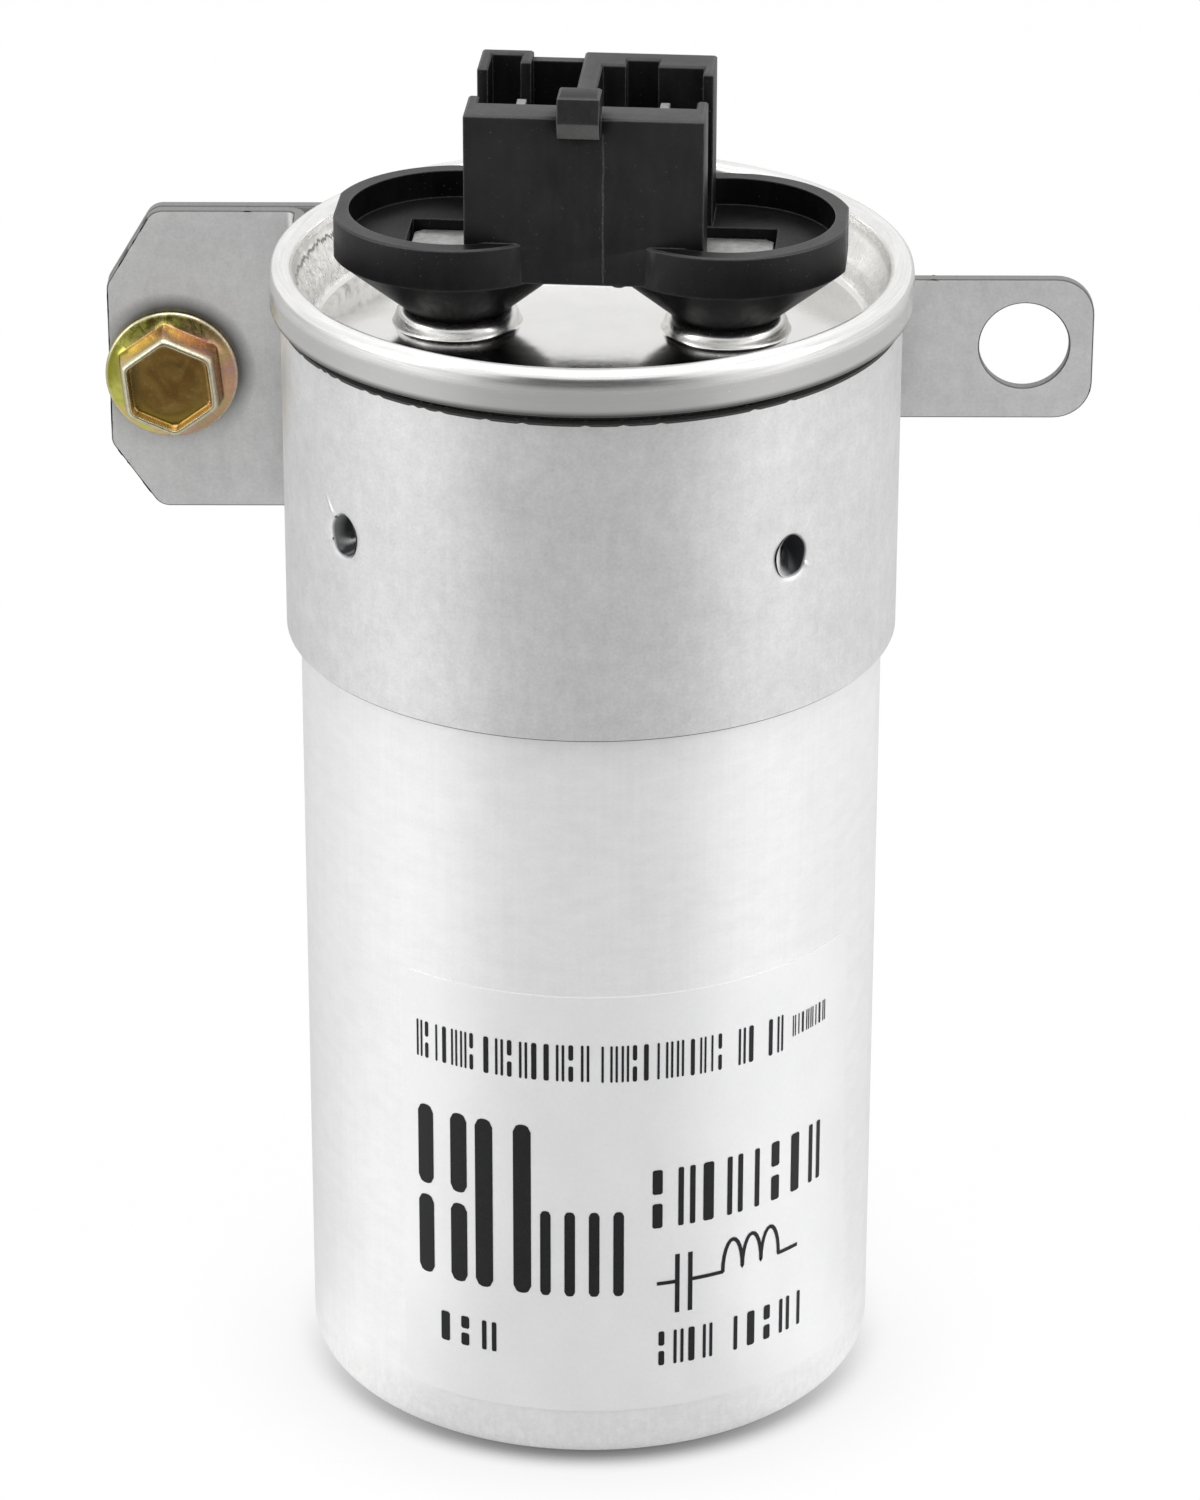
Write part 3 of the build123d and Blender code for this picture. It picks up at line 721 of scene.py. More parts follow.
def sheet_mesh(path, outline, holes, heights, extra=(), sink=None, steps=(1.2, 0.45)):
    """A bent sheet: a flat outline of (along, height) with holes, cut into triangles, given
    its thickness with softened edges, and laid along the path. sink(s, z) presses it in."""
    loops = [outline] + holes
    points, edges = [], []

    def on_sheet(point):
        return inside(point, outline) and not any(inside(point, hole) for hole in holes)

    for loop in loops:
        start = len(points)
        points += loop
        edges += [(start + i, start + (i + 1) % len(loop)) for i in range(len(loop))]
    for s in path.stations(*steps):
        for z in heights:
            point = Vector((s, z))
            if on_sheet(point) and not any(near_loop(point, loop, 0.34) for loop in loops):
                points.append(point)
    points += [point for point in extra if on_sheet(point)]
    flat, _, triangles, *_ = delaunay_2d_cdt(points, edges, [], 0, 1e-6)
    kept = []
    for tri in triangles:
        middle = (flat[tri[0]] + flat[tri[1]] + flat[tri[2]]) / 3
        if on_sheet(middle):
            a, b, c = (flat[i] for i in tri)
            turned = (b.x - a.x) * (c.y - a.y) - (b.y - a.y) * (c.x - a.x)
            kept.append(tuple(tri) if turned > 0 else (tri[0], tri[2], tri[1]))
    used = {}
    for tri in kept:
        for a, b in ((tri[0], tri[1]), (tri[1], tri[2]), (tri[2], tri[0])):
            used[(a, b)] = True
    rim = [(a, b) for a, b in used if (b, a) not in used]
    inward = {}
    for a, b in rim:
        way = (flat[b] - flat[a]).normalized()
        for i in (a, b):
            inward[i] = inward.get(i, Vector((0, 0))) + Vector((-way.y, way.x))
    half = SHEET / 2

    def lay(point, out):
        """out is the distance from the sheet's middle, + on the left of the path."""
        place, left = path.at(min(max(point.x, 0.0), path.length))
        pressed = sink(point.x, point.y) if sink else 0.0
        at = place + left * (out + pressed)
        return (at.x, at.y, point.y)

    def facing(point, side):
        """The direction the sheet's face looks, with the press worked in."""
        place, left = path.at(min(max(point.x, 0.0), path.length))
        way = Vector((left.y, -left.x, 0))
        left3 = Vector((left.x, left.y, 0))
        if not sink:
            return left3.normalized() * side
        e = 0.05
        ds = (sink(point.x + e, point.y) - sink(point.x - e, point.y)) / (2 * e)
        dz = (sink(point.x, point.y + e) - sink(point.x, point.y - e)) / (2 * e)
        return (left3 - way * ds - Vector((0, 0, 1)) * dz).normalized() * side

    verts, faces, normals, where = [], [], [], []
    layer = {}
    for side in (1, -1):
        for i in {i for tri in kept for i in tri}:
            point = flat[i]
            if i in inward:
                point = point + inward[i].normalized() * SHEET_EDGE
            layer[(i, side)] = len(verts)
            verts.append(lay(point, side * half))
            where.append((point.x, point.y, side))
        for tri in kept:
            ids = [layer[(i, side)] for i in tri]
            # seen from the left, s runs to the left and height up
            ids = ids[::-1] if side > 0 else ids
            faces.append(ids)
            normals.append([facing(Vector(where[k][:2]), side) for k in ids])
    rings = {}
    for i in inward:
        for side in (1, -1):
            rings[(i, side)] = len(verts)
            verts.append(lay(flat[i], side * (half - SHEET_EDGE)))
            where.append((flat[i].x, flat[i].y, 0))
    for a, b in rim:
        for quad in (
            (layer[(a, 1)], layer[(b, 1)], rings[(b, 1)], rings[(a, 1)]),
            (rings[(a, 1)], rings[(b, 1)], rings[(b, -1)], rings[(a, -1)]),
            (rings[(a, -1)], rings[(b, -1)], layer[(b, -1)], layer[(a, -1)]),
        ):
            corners = [Vector(verts[i]) for i in quad]
            normal = (corners[2] - corners[0]).cross(corners[3] - corners[1])
            faces.append(list(quad))
            normals.append([normal.normalized()] * 4)
    return verts, faces, normals, where


def sheet_object(name, parts):
    verts, faces, normals, where = [], [], [], []
    for part in parts:
        start = len(verts)
        verts += part[0]
        faces += [[i + start for i in face] for face in part[1]]
        normals += part[2]
        where += part[3]
    mesh = bpy.data.meshes.new(name)
    mesh.from_pydata([Vector(v) * MM for v in verts], [], faces)
    mesh.polygons.foreach_set("use_smooth", [True] * len(mesh.polygons))
    mesh.normals_split_custom_set([normal for face in normals for normal in face])
    attribute = mesh.attributes.new("sheet", "FLOAT_VECTOR", "POINT")
    attribute.data.foreach_set("vector", [c for point in where for c in point])
    obj = bpy.data.objects.new(name, mesh)
    scene.collection.objects.link(obj)
    return obj


def hole_loop(s, z, radius, steps=40, wobble=None):
    loop = []
    for i in range(steps):
        angle = 2 * math.pi * i / steps
        r = radius + (wobble(angle) if wobble else 0.0)
        loop.append(Vector((s + r * math.cos(angle), z + r * math.sin(angle))))
    return loop


def mark_reach(angle):
    """The radius of a pierced mark, which is a little taller than wide."""
    return 1.0 / math.hypot(math.cos(angle) / 1.54, math.sin(angle) / 1.80) + 0.02 * math.sin(5 * angle)


def build_strap():
    front = fillet_path([(EAR_END, EAR_FRONT), (-STRAP_MIDDLE, EAR_FRONT), (-STRAP_MIDDLE, 0.0)], [EAR_BEND])
    round_can = ("arc", Vector((0, 0)), STRAP_MIDDLE, math.pi, 1.5 * math.pi)
    rear = ("line", Vector((0, STRAP_MIDDLE)), Vector((EAR_END, STRAP_MIDDLE)))
    path = Path(front + [round_can, rear])
    total = path.length
    left = path.starts[3]
    rear_start = path.starts[4]
    outline = rounded(
        [(0, STRAP_LOW + 6.1), (4.2, STRAP_LOW), (total - 4.2, STRAP_LOW), (total, STRAP_LOW + 6.1),
         (total, STRAP_HIGH - 7.0), (total - 4.2, STRAP_HIGH), (4.2, STRAP_HIGH), (0, STRAP_HIGH - 7.0)],
        [1.6] * 8)
    right = left + STRAP_MIDDLE * math.pi
    window = rounded(
        [(right, TAB_LOW - 0.1), (rear_start + 3.2, TAB_LOW - 0.1),
         (rear_start + 3.2, TAB_HIGH + 0.1), (right, TAB_HIGH + 0.1)],
        [0, 3.4, 3.4, 0])
    to_screw = SCREW_PLACE - EAR_END
    screw_front = hole_loop(to_screw, SCREW_HEIGHT, 2.75)
    screw_rear = hole_loop(total - to_screw, SCREW_HEIGHT, 2.52)
    marks = [(left + STRAP_MIDDLE * math.radians(angle + 90), z) for angle, z in MARKS]
    pierced = [hole_loop(s, z, 1.0, 56, lambda a: mark_reach(a) - 1.0) for s, z in marks]

    def press(s, z):
        """How far the sheet is dragged in at each mark, and the creases that run from it."""
        deep = 0.0
        for (ms, mz), creases in zip(marks, CREASES):
            away = math.hypot(s - ms, z - mz)
            if away > 5.0:
                continue
            angle = math.atan2(z - mz, s - ms)
            deep += 0.16 * math.exp(-max(0.0, (away - mark_reach(angle)) / 0.35) ** 1.5)
            for way, length, lift in creases:
                turn = (angle - math.radians(way) + math.pi) % (2 * math.pi) - math.pi
                if abs(turn) < 1.2:
                    off = away * math.sin(turn)
                    fade = max(0.0, 1 - max(0.0, away - 1.6) / length)
                    deep -= lift * fade * math.exp(-((off / 0.16) ** 2))
        return deep

    extra = []
    for s, z in marks:
        for away in (2.1, 2.3, 2.5, 2.75, 3.0, 3.3, 3.6, 4.0, 4.5):
            extra += hole_loop(s, z, away, 96)
    heights = [STRAP_LOW + (STRAP_HIGH - STRAP_LOW) * i / 18 for i in range(1, 18)]
    band = sheet_mesh(
        path, densified(outline, 0.5), [densified(window, 0.5), screw_front, screw_rear] + pierced,
        heights, extra, press)
    tab_path = Path(fillet_path(
        [(STRAP_MIDDLE, 0.0), (STRAP_MIDDLE, 2.0), (STRAP_MIDDLE + 0.4, STRAP_MIDDLE),
         (TAB_END, STRAP_MIDDLE)],
        [12.0, 1.5]))
    length = tab_path.length
    tab_outline = rounded(
        [(0, TAB_LOW), (length, TAB_LOW), (length, TAB_HIGH), (0, TAB_HIGH)], [0, 3.4, 3.4, 0], 10)
    tab_heights = [TAB_LOW + (TAB_HIGH - TAB_LOW) * i / 9 for i in range(1, 9)]
    tab = sheet_mesh(
        tab_path, densified(tab_outline, 0.5), [hole_loop(length - 6.15, 84.6, 4.0, 72)],
        tab_heights, steps=(1.2, 0.35))
    funnels = [funnel(angle, z, i) for i, (angle, z) in enumerate(MARKS)]
    strap = sheet_object("strap_sheet", [band, tab] + funnels)
    finish_piece(strap, strap_material(), ["mounting_strap"])


def funnel(mark_angle, mark_height, which):
    """The inside of one pierced mark: the sheet driven into the can. The left one drops
    steeply over a crumpled lower side, the right one slopes in from its bright left lip."""
    turn = math.radians(mark_angle)
    out = Vector((math.sin(turn), -math.cos(turn), 0))
    side = Vector((math.cos(turn), math.sin(turn), 0))
    up = Vector((0, 0, 1))
    start = out * (STRAP_MIDDLE + SHEET / 2) + up * mark_height
    # share of the mark's radius, depth
    rows = ((1.07, 0.10), (1.02, 0.18), (0.985, 0.30), (0.95, 0.48), (0.90, 0.70), (0.84, 0.95), (0.76, 1.22),
            (0.66, 1.48), (0.55, 1.70), (0.42, 1.90), (0.28, 2.06), (0.14, 2.16), (0.01, 2.2))
    lean = (-0.15, 0.75)[which]
    bright = (0.30, 0.95)[which]
    lit_way = math.radians((160, 186)[which])
    steps = 96
    verts, where = [], []
    for share, deep in rows:
        for i in range(steps):
            angle = 2 * math.pi * i / steps
            low = max(0.0, -math.sin(angle + (0.3, -0.25)[which]))
            torn = low ** 5 * math.sin(5 * angle + 9 * share) * min(1.0, deep)
            slope = (0.0, 0.80)[which] * max(0.0, -math.cos(angle)) * share
            radius = mark_reach(angle) * share * (1 - 0.06 * torn)
            drop = deep * (1 - slope) * (1 - (0.30, 0.10)[which] * low ** 3) + 0.14 * torn
            across = radius * math.cos(angle) + lean * max(0.0, 1 - share) ** 0.8
            verts.append(start + side * across + up * (radius * math.sin(angle)) - out * drop)
            # painted light and shade: the inside darkens with depth, except on a crescent lit from lit_way;
            # the darkness goes into the sheet attribute
            lit = max(0.0, math.cos(angle - lit_way)) ** 0.7
            dark = 1 - bright * lit * (1 - min(1.0, max(0.0, drop - 0.45) / 0.8))
            dark -= (0.55, 0.15)[which] * max(0.0, torn)
            dark = max(0.0, dark) * min(1.0, 0.15 + deep / 0.35)
            where.append((300 + angle * 1.6, deep, 10.0 + min(1.0, dark)))
    faces, normals = [], []
    for quad in ring_faces(len(rows), steps):
        p = [verts[k] for k in quad]
        normal = (p[2] - p[0]).cross(p[3] - p[1]).normalized()
        if normal.dot(out) < 0 and normal.dot(start - p[0]) < 0:
            quad, normal = quad[::-1], -normal
        faces.append(list(quad))
        normals.append([normal] * 4)
    return [tuple(v) for v in verts], faces, normals, where


# Screw

def screw_point(radius, angle, out):
    """A point by its radius, its angle in the front view and its distance in front of the ear."""
    return (SCREW.x + radius * math.cos(angle), SCREW.y - out, SCREW.z + radius * math.sin(angle))


def hex_radius(angle, flats, rounding):
    """The radius of a hexagon with softened corners, by its width across flats."""
    step = math.pi / 3
    local = (angle - math.radians(36.0)) % step - step / 2
    plain = flats / 2 / math.cos(local)
    corner = flats / math.sqrt(3)
    return plain - rounding * max(0.0, (plain - flats / 2) / (corner - flats / 2)) ** 6


def build_screw():
    steps = 240
    rings = []

    def ring(radius_of, out_of):
        angles = [2 * math.pi * i / steps for i in range(steps)]
        rings.append([screw_point(radius_of(a), a, out_of(a)) for a in angles])

    def circle(radius, out):
        ring(lambda a: radius, lambda a: out)

    def hexagon(flats, out, rounding, corner_drop=0.0):
        def out_of(a):
            share = (hex_radius(a, flats, rounding) / (flats / 2) - 1) / 0.1547
            return out - corner_drop * max(0.0, share) ** 2
        ring(lambda a: hex_radius(a, flats, rounding), out_of)

    def wave(angle):
        return 0.03 * math.sin(2 * angle + 0.6)

    # the flange, from its seat to its slope
    circle(2.1, 0.0)
    circle(5.55, 0.0)
    circle(5.8, 0.06)
    circle(5.88, 0.25)
    ring(lambda a: 5.9, lambda a: 0.58 + wave(a))
    ring(lambda a: 5.86, lambda a: 0.76 + wave(a))
    ring(lambda a: 5.74, lambda a: 0.86 + wave(a))
    ring(lambda a: 5.55, lambda a: 0.92 + 0.5 * wave(a))
    circle(5.3, 1.0)
    # the sides and the rim
    hexagon(8.92, 1.30, 0.10, 0.24)
    hexagon(8.76, 1.46, 0.08, 0.26)
    hexagon(8.68, 1.75, 0.08, 0.22)
    hexagon(8.34, 3.40, 0.08, 0.05)
    hexagon(8.26, 3.66, 0.09, 0.08)
    hexagon(8.12, 3.90, 0.10, 0.09)
    hexagon(7.92, 4.08, 0.11, 0.08)
    hexagon(7.68, 4.18, 0.12, 0.06)
    hexagon(7.42, 4.20, 0.12, 0.03)
    hexagon(7.24, 4.16, 0.12)
    hexagon(7.14, 4.04, 0.12)
    # the dished top
    hexagon(6.96, 3.52, 0.14)
    hexagon(6.86, 3.38, 0.18)
    hexagon(6.64, 3.31, 0.24)
    hexagon(6.3, 3.30, 0.35)
    circle(2.95, 3.30)
    circle(2.75, 3.27)
    circle(2.2, 3.26)
    circle(1.95, 3.29)
    circle(1.2, 3.30)
    circle(0.7, 3.27)
    verts = [point for one in rings for point in one] + [screw_point(0, 0, 3.27)]
    last = (len(rings) - 1) * steps
    head = (verts, ring_faces(len(rings), steps) + ring_cap(last, steps, len(verts) - 1))
    around, rows = 48, 12 * 14
    verts = []
    for j in range(rows + 1):
        down = SCREW_LENGTH * j / rows
        for i in range(around):
            angle = 2 * math.pi * i / around
            turn = (down / THREAD_PITCH - i / around) % 1.0
            crest = 1 - abs(2 * turn - 1)
            depth = 0.44 * min(1.0, max(0.0, 1.25 * (1 - crest) - 0.12)) * min(1.0, down / 0.5)
            radius = THREAD_R - depth
            if down > SCREW_LENGTH - 1:
                radius = min(radius, THREAD_R - 1.26 * (down - SCREW_LENGTH + 1))
            verts.append(screw_point(radius, angle, -down))
    verts.append(screw_point(0, 0, -SCREW_LENGTH))
    faces = ring_faces(rows + 1, around) + ring_cap(rows * around, around, len(verts) - 1)
    screw = mesh_object("flanged_screw", *merged(head, (verts, faces)), sharp=38)
    finish_piece(screw, screw_material(), ["clamp_screw"])


# Label and its print

def on_label(degrees, z, out):
    turn = math.radians(degrees)
    radius = LABEL_R + out
    return (radius * math.sin(turn), -radius * math.cos(turn), z)


def build_label():
    low, high, left, right = 4.8, 45.3, -40.0, 62.0
    columns, rows = 120, 24
    corner = 1.0
    verts, faces = [], []
    for skin in (0.0, -0.09):
        for j in range(rows + 1):
            z = low + (high - low) * j / rows
            near = min(z - low, high - z)
            cut = math.degrees(corner_cut(near, corner) / LABEL_R)
            for i in range(columns + 1):
                degrees = left + cut + (right - left - 2 * cut) * i / columns
                lift = 0.06 * max(0.0, 1 - (right - degrees) / 1.2) * (1 + math.sin(z * 0.7)) / 2
                verts.append(on_label(degrees, z, skin + lift * 0.5))
    row = columns + 1
    sheet = row * (rows + 1)
    for j in range(rows):
        for i in range(columns):
            a = j * row + i
            faces.append((a, a + 1, a + row + 1, a + row))
            faces.append((sheet + a, sheet + a + row, sheet + a + row + 1, sheet + a + 1))
    rim = list(range(row)) + [j * row + columns for j in range(1, rows + 1)]
    rim += [rows * row + i for i in range(columns - 1, -1, -1)] + [j * row for j in range(rows - 1, 0, -1)]
    for a, b in zip(rim, rim[1:] + rim[:1]):
        faces.append((a, a + sheet, b + sheet, b))
    label = mesh_object("label_sheet", verts, faces)
    finish_piece(label, label_material(), ["label"])


def stroke(points, width):
    """A line of even width over the label, from (degrees, height) points."""
    mm = [Vector((math.radians(a) * LABEL_R, z)) for a, z in points]
    mm = [a.lerp(b, k / 8) for a, b in zip(mm, mm[1:]) for k in range(8)] + mm[-1:]
    verts, faces = [], []
    for i, point in enumerate(mm):
        before, after = mm[max(i - 1, 0)], mm[min(i + 1, len(mm) - 1)]
        way = (after - before).normalized()
        side = Vector((-way.y, way.x)) * width / 2
        for edge in (point + side, point - side):
            verts.append(on_label(math.degrees(edge.x / LABEL_R), edge.y, PRINT_LIFT))
    for i in range(len(mm) - 1):
        faces.append((2 * i, 2 * i + 1, 2 * i + 3, 2 * i + 2))
    return verts, faces


def bar(a0, a1, z0, z1, soft=0.3):
    """A block of print with softened corners between two angles and two heights."""
    x0, x1 = math.radians(a0) * LABEL_R, math.radians(a1) * LABEL_R
    soft = min(soft, (x1 - x0) / 2.2, (z1 - z0) / 2.2)
    columns = max(6, int((x1 - x0) / 0.5))
    verts, faces = [], []
    for i in range(columns + 1):
        share = i / columns
        x = x0 + (x1 - x0) * share
        near = min(x - x0, x1 - x)
        cut = corner_cut(near, soft)
        verts.append(on_label(math.degrees(x / LABEL_R), z0 + cut, PRINT_LIFT))
        verts.append(on_label(math.degrees(x / LABEL_R), z1 - cut, PRINT_LIFT))
    for i in range(columns):
        faces.append((2 * i, 2 * i + 2, 2 * i + 3, 2 * i + 1))
    return verts, faces


def ticks(a0, a1, z0, z1, count, kinds):
    """A row of upright marks that stands for a line of print: broad ones, slim ones, slim
    pairs and broken ones."""
    pitch = (a1 - a0) / count
    rise = z1 - z0
    made = []
    for i in range(count):
        left, right = a0 + (i + 0.10) * pitch, a0 + (i + 0.78) * pitch
        kind = kinds[i % len(kinds)]
        slim = (right - left) * 0.32
        if kind == "p":
            made.append(bar(left, left + slim, z0, z1, 0.12))
            made.append(bar(right - slim, right, z0, z1, 0.12))
        elif kind == "b":
            made.append(bar(left, left + slim * 2.0, z0, z1, 0.15))
        elif kind == "d":
            made.append(bar(left, left + slim * 1.8, z0, z0 + rise * 0.42, 0.15))
            made.append(bar(left, left + slim * 1.8, z0 + rise * 0.58, z1, 0.15))
        else:
            made.append(bar(left + slim, left + slim * 2.0, z0, z1, 0.12))
    return made


def build_print():
    parts = []
    words = ((-36.3, -22.3, 7, "pdsbp"), (-21.4, 0.4, 9, "bpdpb"), (1.5, 19.0, 8, "sppdb"),
             (19.7, 27.5, 4, "bpsd"), (30.0, 34.8, 2, "pb"), (37.2, 41.6, 2, "bp"))
    for a0, a1, count, kinds in words:
        drop = (a0 + 36) * 0.004
        parts += ticks(a0, a1, 37.35 - drop, 40.85 - drop, count, kinds)
    parts += ticks(43.6, 53.9, 38.0, 40.0, 8, "psbp")
    # the large figures' places hold thick uprights, whole and broken
    for a0, a1 in ((-36.0, -32.4), (-28.5, -24.9)):
        parts.append(bar(a0, a1, 16.3, 24.0, 0.7))
        parts.append(bar(a0, a1, 25.1, 32.8, 0.7))
    for a0, a1 in ((-23.1, -19.4), (-15.2, -11.6)):
        parts.append(bar(a0, a1, 16.3, 32.8, 0.9))
    for a0 in (-9.8, -5.0, -0.2, 4.6):
        parts.append(bar(a0, a0 + 2.1, 16.3, 24.6, 0.4))
    parts += ticks(-31.4, -17.8, 10.0, 12.9, 3, "bdp")
    parts += ticks(11.8, 53.8, 22.7, 28.4, 8, "dpbpsdbp")
    parts += ticks(13.4, 25.8, 9.0, 12.4, 4, "dpbp")
    parts += ticks(28.6, 49.0, 9.0, 12.4, 5, "sbdps")
    # the plain circuit symbols: two plates and a coil, with their leads
    parts.append(stroke([(13.3, 17.2), (17.5, 17.2)], 0.36))
    parts.append(stroke([(17.5, 14.1), (17.5, 19.9)], 0.42))
    parts.append(stroke([(20.2, 14.1), (20.2, 19.9)], 0.42))
    coil = [(20.2, 17.2), (27.1, 17.2)]
    for loop in range(3):
        middle = 29.5 + 4.5 * loop
        for k in range(13):
            angle = math.pi * k / 12
            coil.append((middle - 2.25 * math.cos(angle), 17.2 + 3.0 * math.sin(angle)))
    coil += [(43.0, 17.2), (46.0, 17.2)]
    parts.append(stroke([p for i, p in enumerate(coil) if i == 0 or p != coil[i - 1]], 0.36))
    ink = mesh_object("label_print", *merged(*parts))
    finish_piece(ink, ink_material())


# Carried-over solids

def dressed(node, name, material, bevel, nub=None):
    """A copy of a CAD solid with smooth shading and softened edges, in the solid's place.
    nub is the place and the half sizes of a small lump on it, in millimetres."""
    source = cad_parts[node]
    mesh = source.data.copy()
    work = bmesh.new()
    work.from_mesh(mesh)
    bmesh.ops.remove_doubles(work, verts=work.verts, dist=1e-7)
    bmesh.ops.dissolve_limit(work, angle_limit=math.radians(0.5), verts=work.verts, edges=work.edges)
    bmesh.ops.recalc_face_normals(work, faces=work.faces)
    if nub:
        shape = Matrix.Translation(Vector(nub[0]) * MM) @ Matrix.Rotation(TURN, 4, "Z")
        shape = shape @ Matrix.Diagonal((*(Vector(nub[1]) * MM), 1.0))
        bmesh.ops.create_uvsphere(work, u_segments=20, v_segments=12, radius=1.0, matrix=shape)
    work.to_mesh(mesh)
    work.free()
    mesh.name = name
    if mesh.has_custom_normals:
        mesh.normals_split_custom_set([(0, 0, 0)] * len(mesh.loops))
    mesh.polygons.foreach_set("use_smooth", [True] * len(mesh.polygons))
    mesh.set_sharp_from_angle(angle=math.radians(30.0))
    obj = bpy.data.objects.new(name, mesh)
    scene.collection.objects.link(obj)
    soften = obj.modifiers.new("edges", "BEVEL")
    soften.width = bevel * MM
    soften.segments = 2
    soften.limit_method = "ANGLE"
    soften.angle_limit = math.radians(38)
    soften.use_clamp_overlap = True
    finish_piece(obj, material, [node])


# Camera, light, floor

def build_camera():
    data = bpy.data.cameras.new("camera")
    data.sensor_fit = "VERTICAL"
    data.sensor_height = SENSOR
    data.lens = FOCAL_PIXELS * SENSOR / FRAME_HEIGHT
    data.clip_start, data.clip_end = 0.01, 20.0
    camera = bpy.data.objects.new("camera", data)
    right = Vector((0.999998, 0.000841, 0.00179))
    up = Vector((-0.001978, 0.425052, 0.905167))
    back = -Vector((0.0, 0.905169, -0.425052))
    turn = Matrix((right, up, back)).transposed().to_4x4()
    camera.matrix_world = Matrix.Translation(CAMERA_PLACE * MM) @ turn
    scene.collection.objects.link(camera)
    scene.camera = camera


def build_world():
    """White to the camera; to metal it is a pale studio with a dim side where the camera
    stands and bright sides, and an even fill to everything else."""
    world = bpy.data.worlds.new("studio")
    scene.world = world
    world.use_nodes = True
    world.node_tree.nodes.clear()
    nodes = Nodes(world.node_tree)
    x, y, z = nodes.split(nodes.node("TexCoord").outputs["Generated"])
    heading = nodes.maths("DIVIDE", y, nodes.maths("MAXIMUM", nodes.length(x, y), 0.001))
    front = nodes.range(heading, -0.76, -0.96, interpolation_type="SMOOTHSTEP")
    low = nodes.range(z, 0.62, 0.30, interpolation_type="SMOOTHSTEP")
    studio = nodes.minus(0.98, nodes.times(nodes.times(front, low), 0.86))
    plain, mirrored, shown = [
        nodes.node("Background", {"Color": grey(1.0), "Strength": strength}).outputs[0]
        for strength in (0.78, studio, 1.0)]
    nodes.node("OutputWorld", {"Surface": nodes.by_ray(plain, mirrored, shown)})


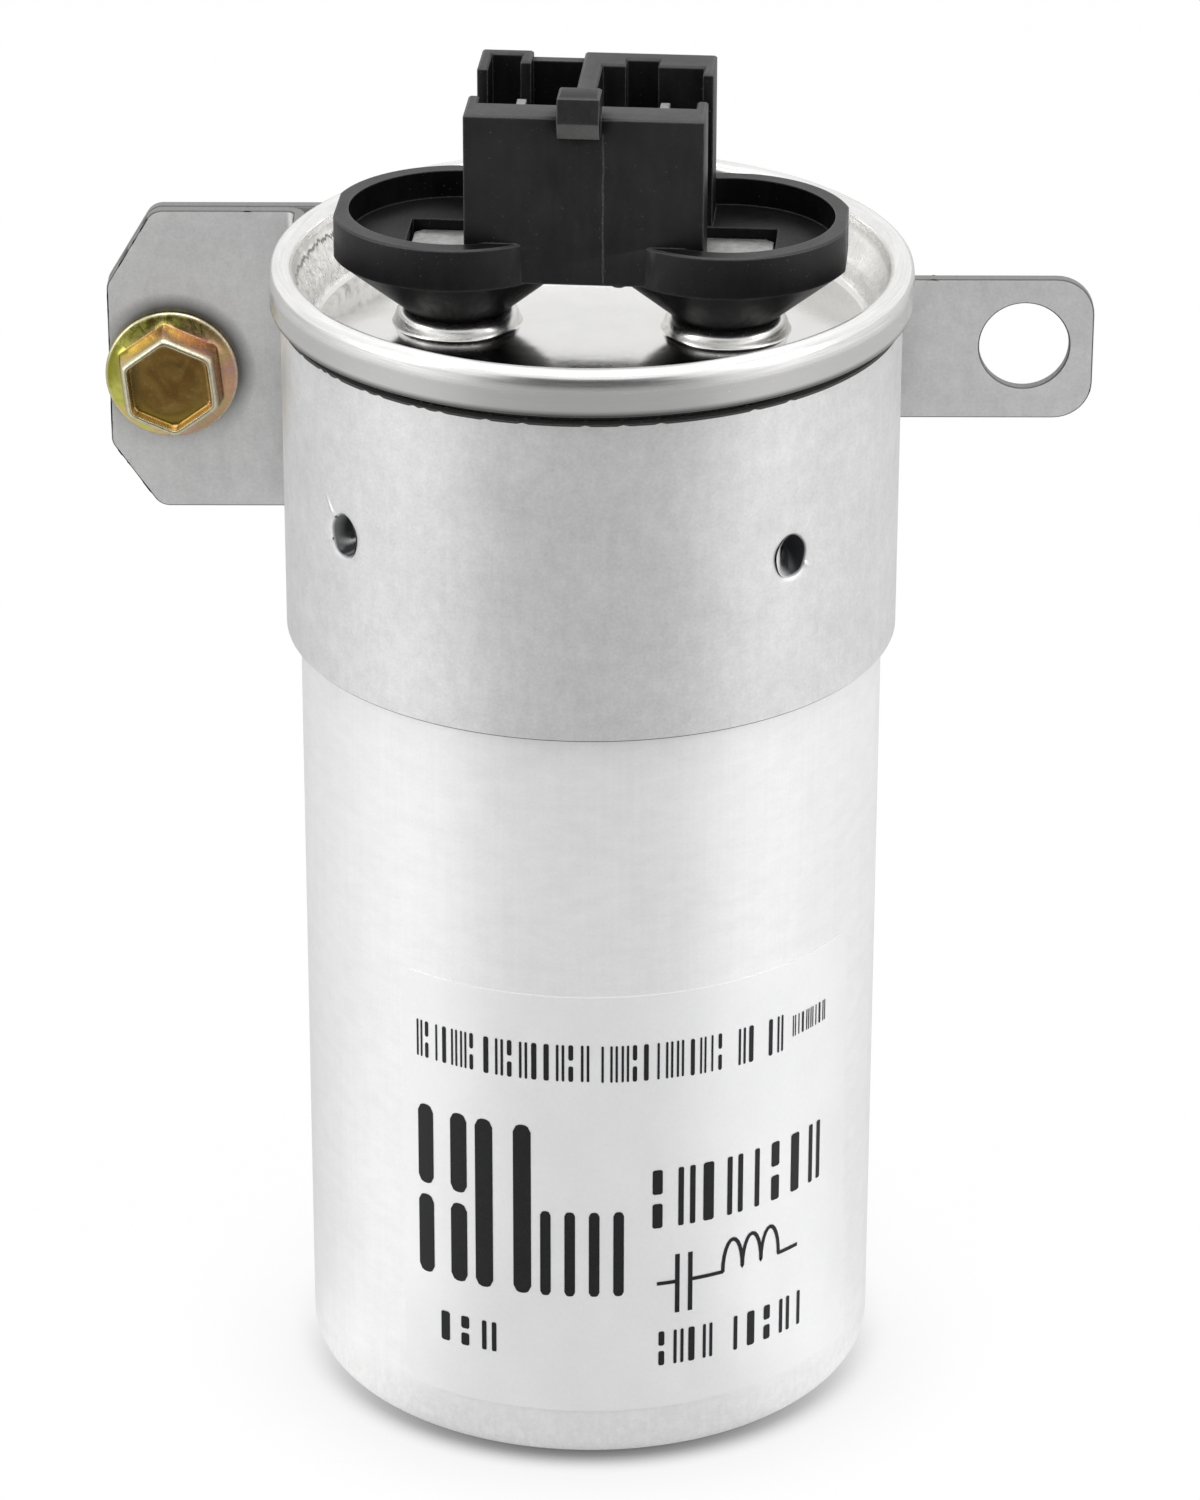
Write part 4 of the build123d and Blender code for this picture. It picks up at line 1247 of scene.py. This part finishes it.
def build_floor():
    """A white floor: it keeps the shadow that the object casts round its base, and metal
    mirrors it as a table that is brighter at the sides than in front."""
    half = 3.0
    corners = [(-half, -half, 0), (half, -half, 0), (half, half, 0), (-half, half, 0)]
    mesh = bpy.data.meshes.new("floor")
    mesh.from_pydata(corners, [], [(0, 1, 2, 3)])
    floor = bpy.data.objects.new("floor", mesh)
    scene.collection.objects.link(floor)
    floor.location.z = -0.00002
    paint = Paint("white_floor")
    paint.tree.nodes.remove(paint.shader)
    x, y, _ = paint.split(paint.place())
    reach = paint.length(x, y)
    out = paint.maths("MAXIMUM", reach, 1.0)
    facing = paint.maths("DIVIDE", y, out)
    aside = paint.maths("DIVIDE", x, out)
    way = paint.range(facing, -1.0, 1.0)
    table = paint.ramp(
        way,
        (0.0, 0.41), (0.085, 0.48), (0.155, 0.77), (0.22, 0.91), (0.31, 0.98), (0.415, 0.91), (0.52, 0.86),
        (0.655, 0.80), (0.79, 0.74), (0.94, 0.66), (1.0, 0.62))
    # dimmer behind on the left, and far off in front
    rear_left = paint.range(paint.minus(facing, aside), 0.95, 1.35, 0.0, 0.18)
    ahead = paint.times(paint.range(facing, -0.75, -0.95), paint.range(reach, 330.0, 620.0, 0.0, 0.75))
    close = paint.times(paint.range(reach, 110.0, 45.0, 0.0, 0.17), paint.range(facing, -0.2, 0.15))
    table = paint.mix(paint.blend((rear_left, 1.0), (ahead, 1.0), (close, 1.0)), table, grey(0.0))
    # the shadow: a dark core in front that fades to the sides, and a faint wide one
    near = paint.openness(3.1, 12)
    wide = paint.openness(13, 12)
    core = paint.ramp(near, (0.0, 0.14), (0.5, 0.32), (0.76, 0.80), (0.92, 0.985), (1.0, 1.0))
    core_share = paint.ramp(way, (0.0, 1.0), (0.08, 0.86), (0.33, 0.32), (0.5, 0.07))
    core = paint.mix(core_share, grey(1.0), core)
    faint = paint.ramp(wide, (0.5, 0.86), (0.85, 0.965), (1.0, 1.0))
    faint = paint.mix(paint.range(facing, 0.25, -0.45, 0.30, 0.85), grey(1.0), faint)
    shown = paint.mix(1.0, core, faint, "MULTIPLY")
    diffuse = paint.node("BsdfDiffuse", {"Color": grey(0.82)}).outputs[0]
    white = paint.node("Emission", {"Color": shown, "Strength": 1.0}).outputs[0]
    mirrored = paint.node("Emission", {"Color": table, "Strength": 1.0}).outputs[0]
    surface = paint.by_ray(diffuse, mirrored, paint.mix_shader(0.97, diffuse, white))
    paint.join(surface, paint.tree.nodes["Material Output"].inputs[0])
    mesh.materials.append(paint.material)


def area(name, place, aim, size, watts):
    data = bpy.data.lights.new(name, "AREA")
    data.shape, data.size, data.size_y, data.energy = "RECTANGLE", size[0], size[1], watts
    lamp = bpy.data.objects.new(name, data)
    lamp.location = Vector(place)
    lamp.rotation_euler = (Vector(aim) - Vector(place)).to_track_quat("-Z", "Y").to_euler()
    scene.collection.objects.link(lamp)


def build_lights():
    area("top_softbox", (0.0, -0.10, 0.85), (0, 0, 0.05), (0.7, 0.5), 3.2)
    area("left_softbox", (-0.75, -0.25, 0.40), (0, 0, 0.06), (0.35, 0.6), 1.6)
    area("right_softbox", (0.75, -0.25, 0.40), (0, 0, 0.06), (0.35, 0.6), 1.6)


scene.view_settings.view_transform = "Standard"
build_camera()
build_world()
build_floor()
build_lights()
build_can()
build_lid()
build_strap()
build_screw()
build_label()
build_print()
moulding = housing_material()
plate = blade_material()
gate_nub = ((*uv_row(2.9, -8.2), 102.98), (0.62, 0.30, 0.26))
dressed("terminal_housing", "housing_moulding", moulding, 0.14, gate_nub)
for side in ("left", "right"):
    dressed("blade_" + side, "terminal_blade_" + side, plate, 0.06)
    dressed("post_" + side, "terminal_rivet_" + side, plate, 0.05)
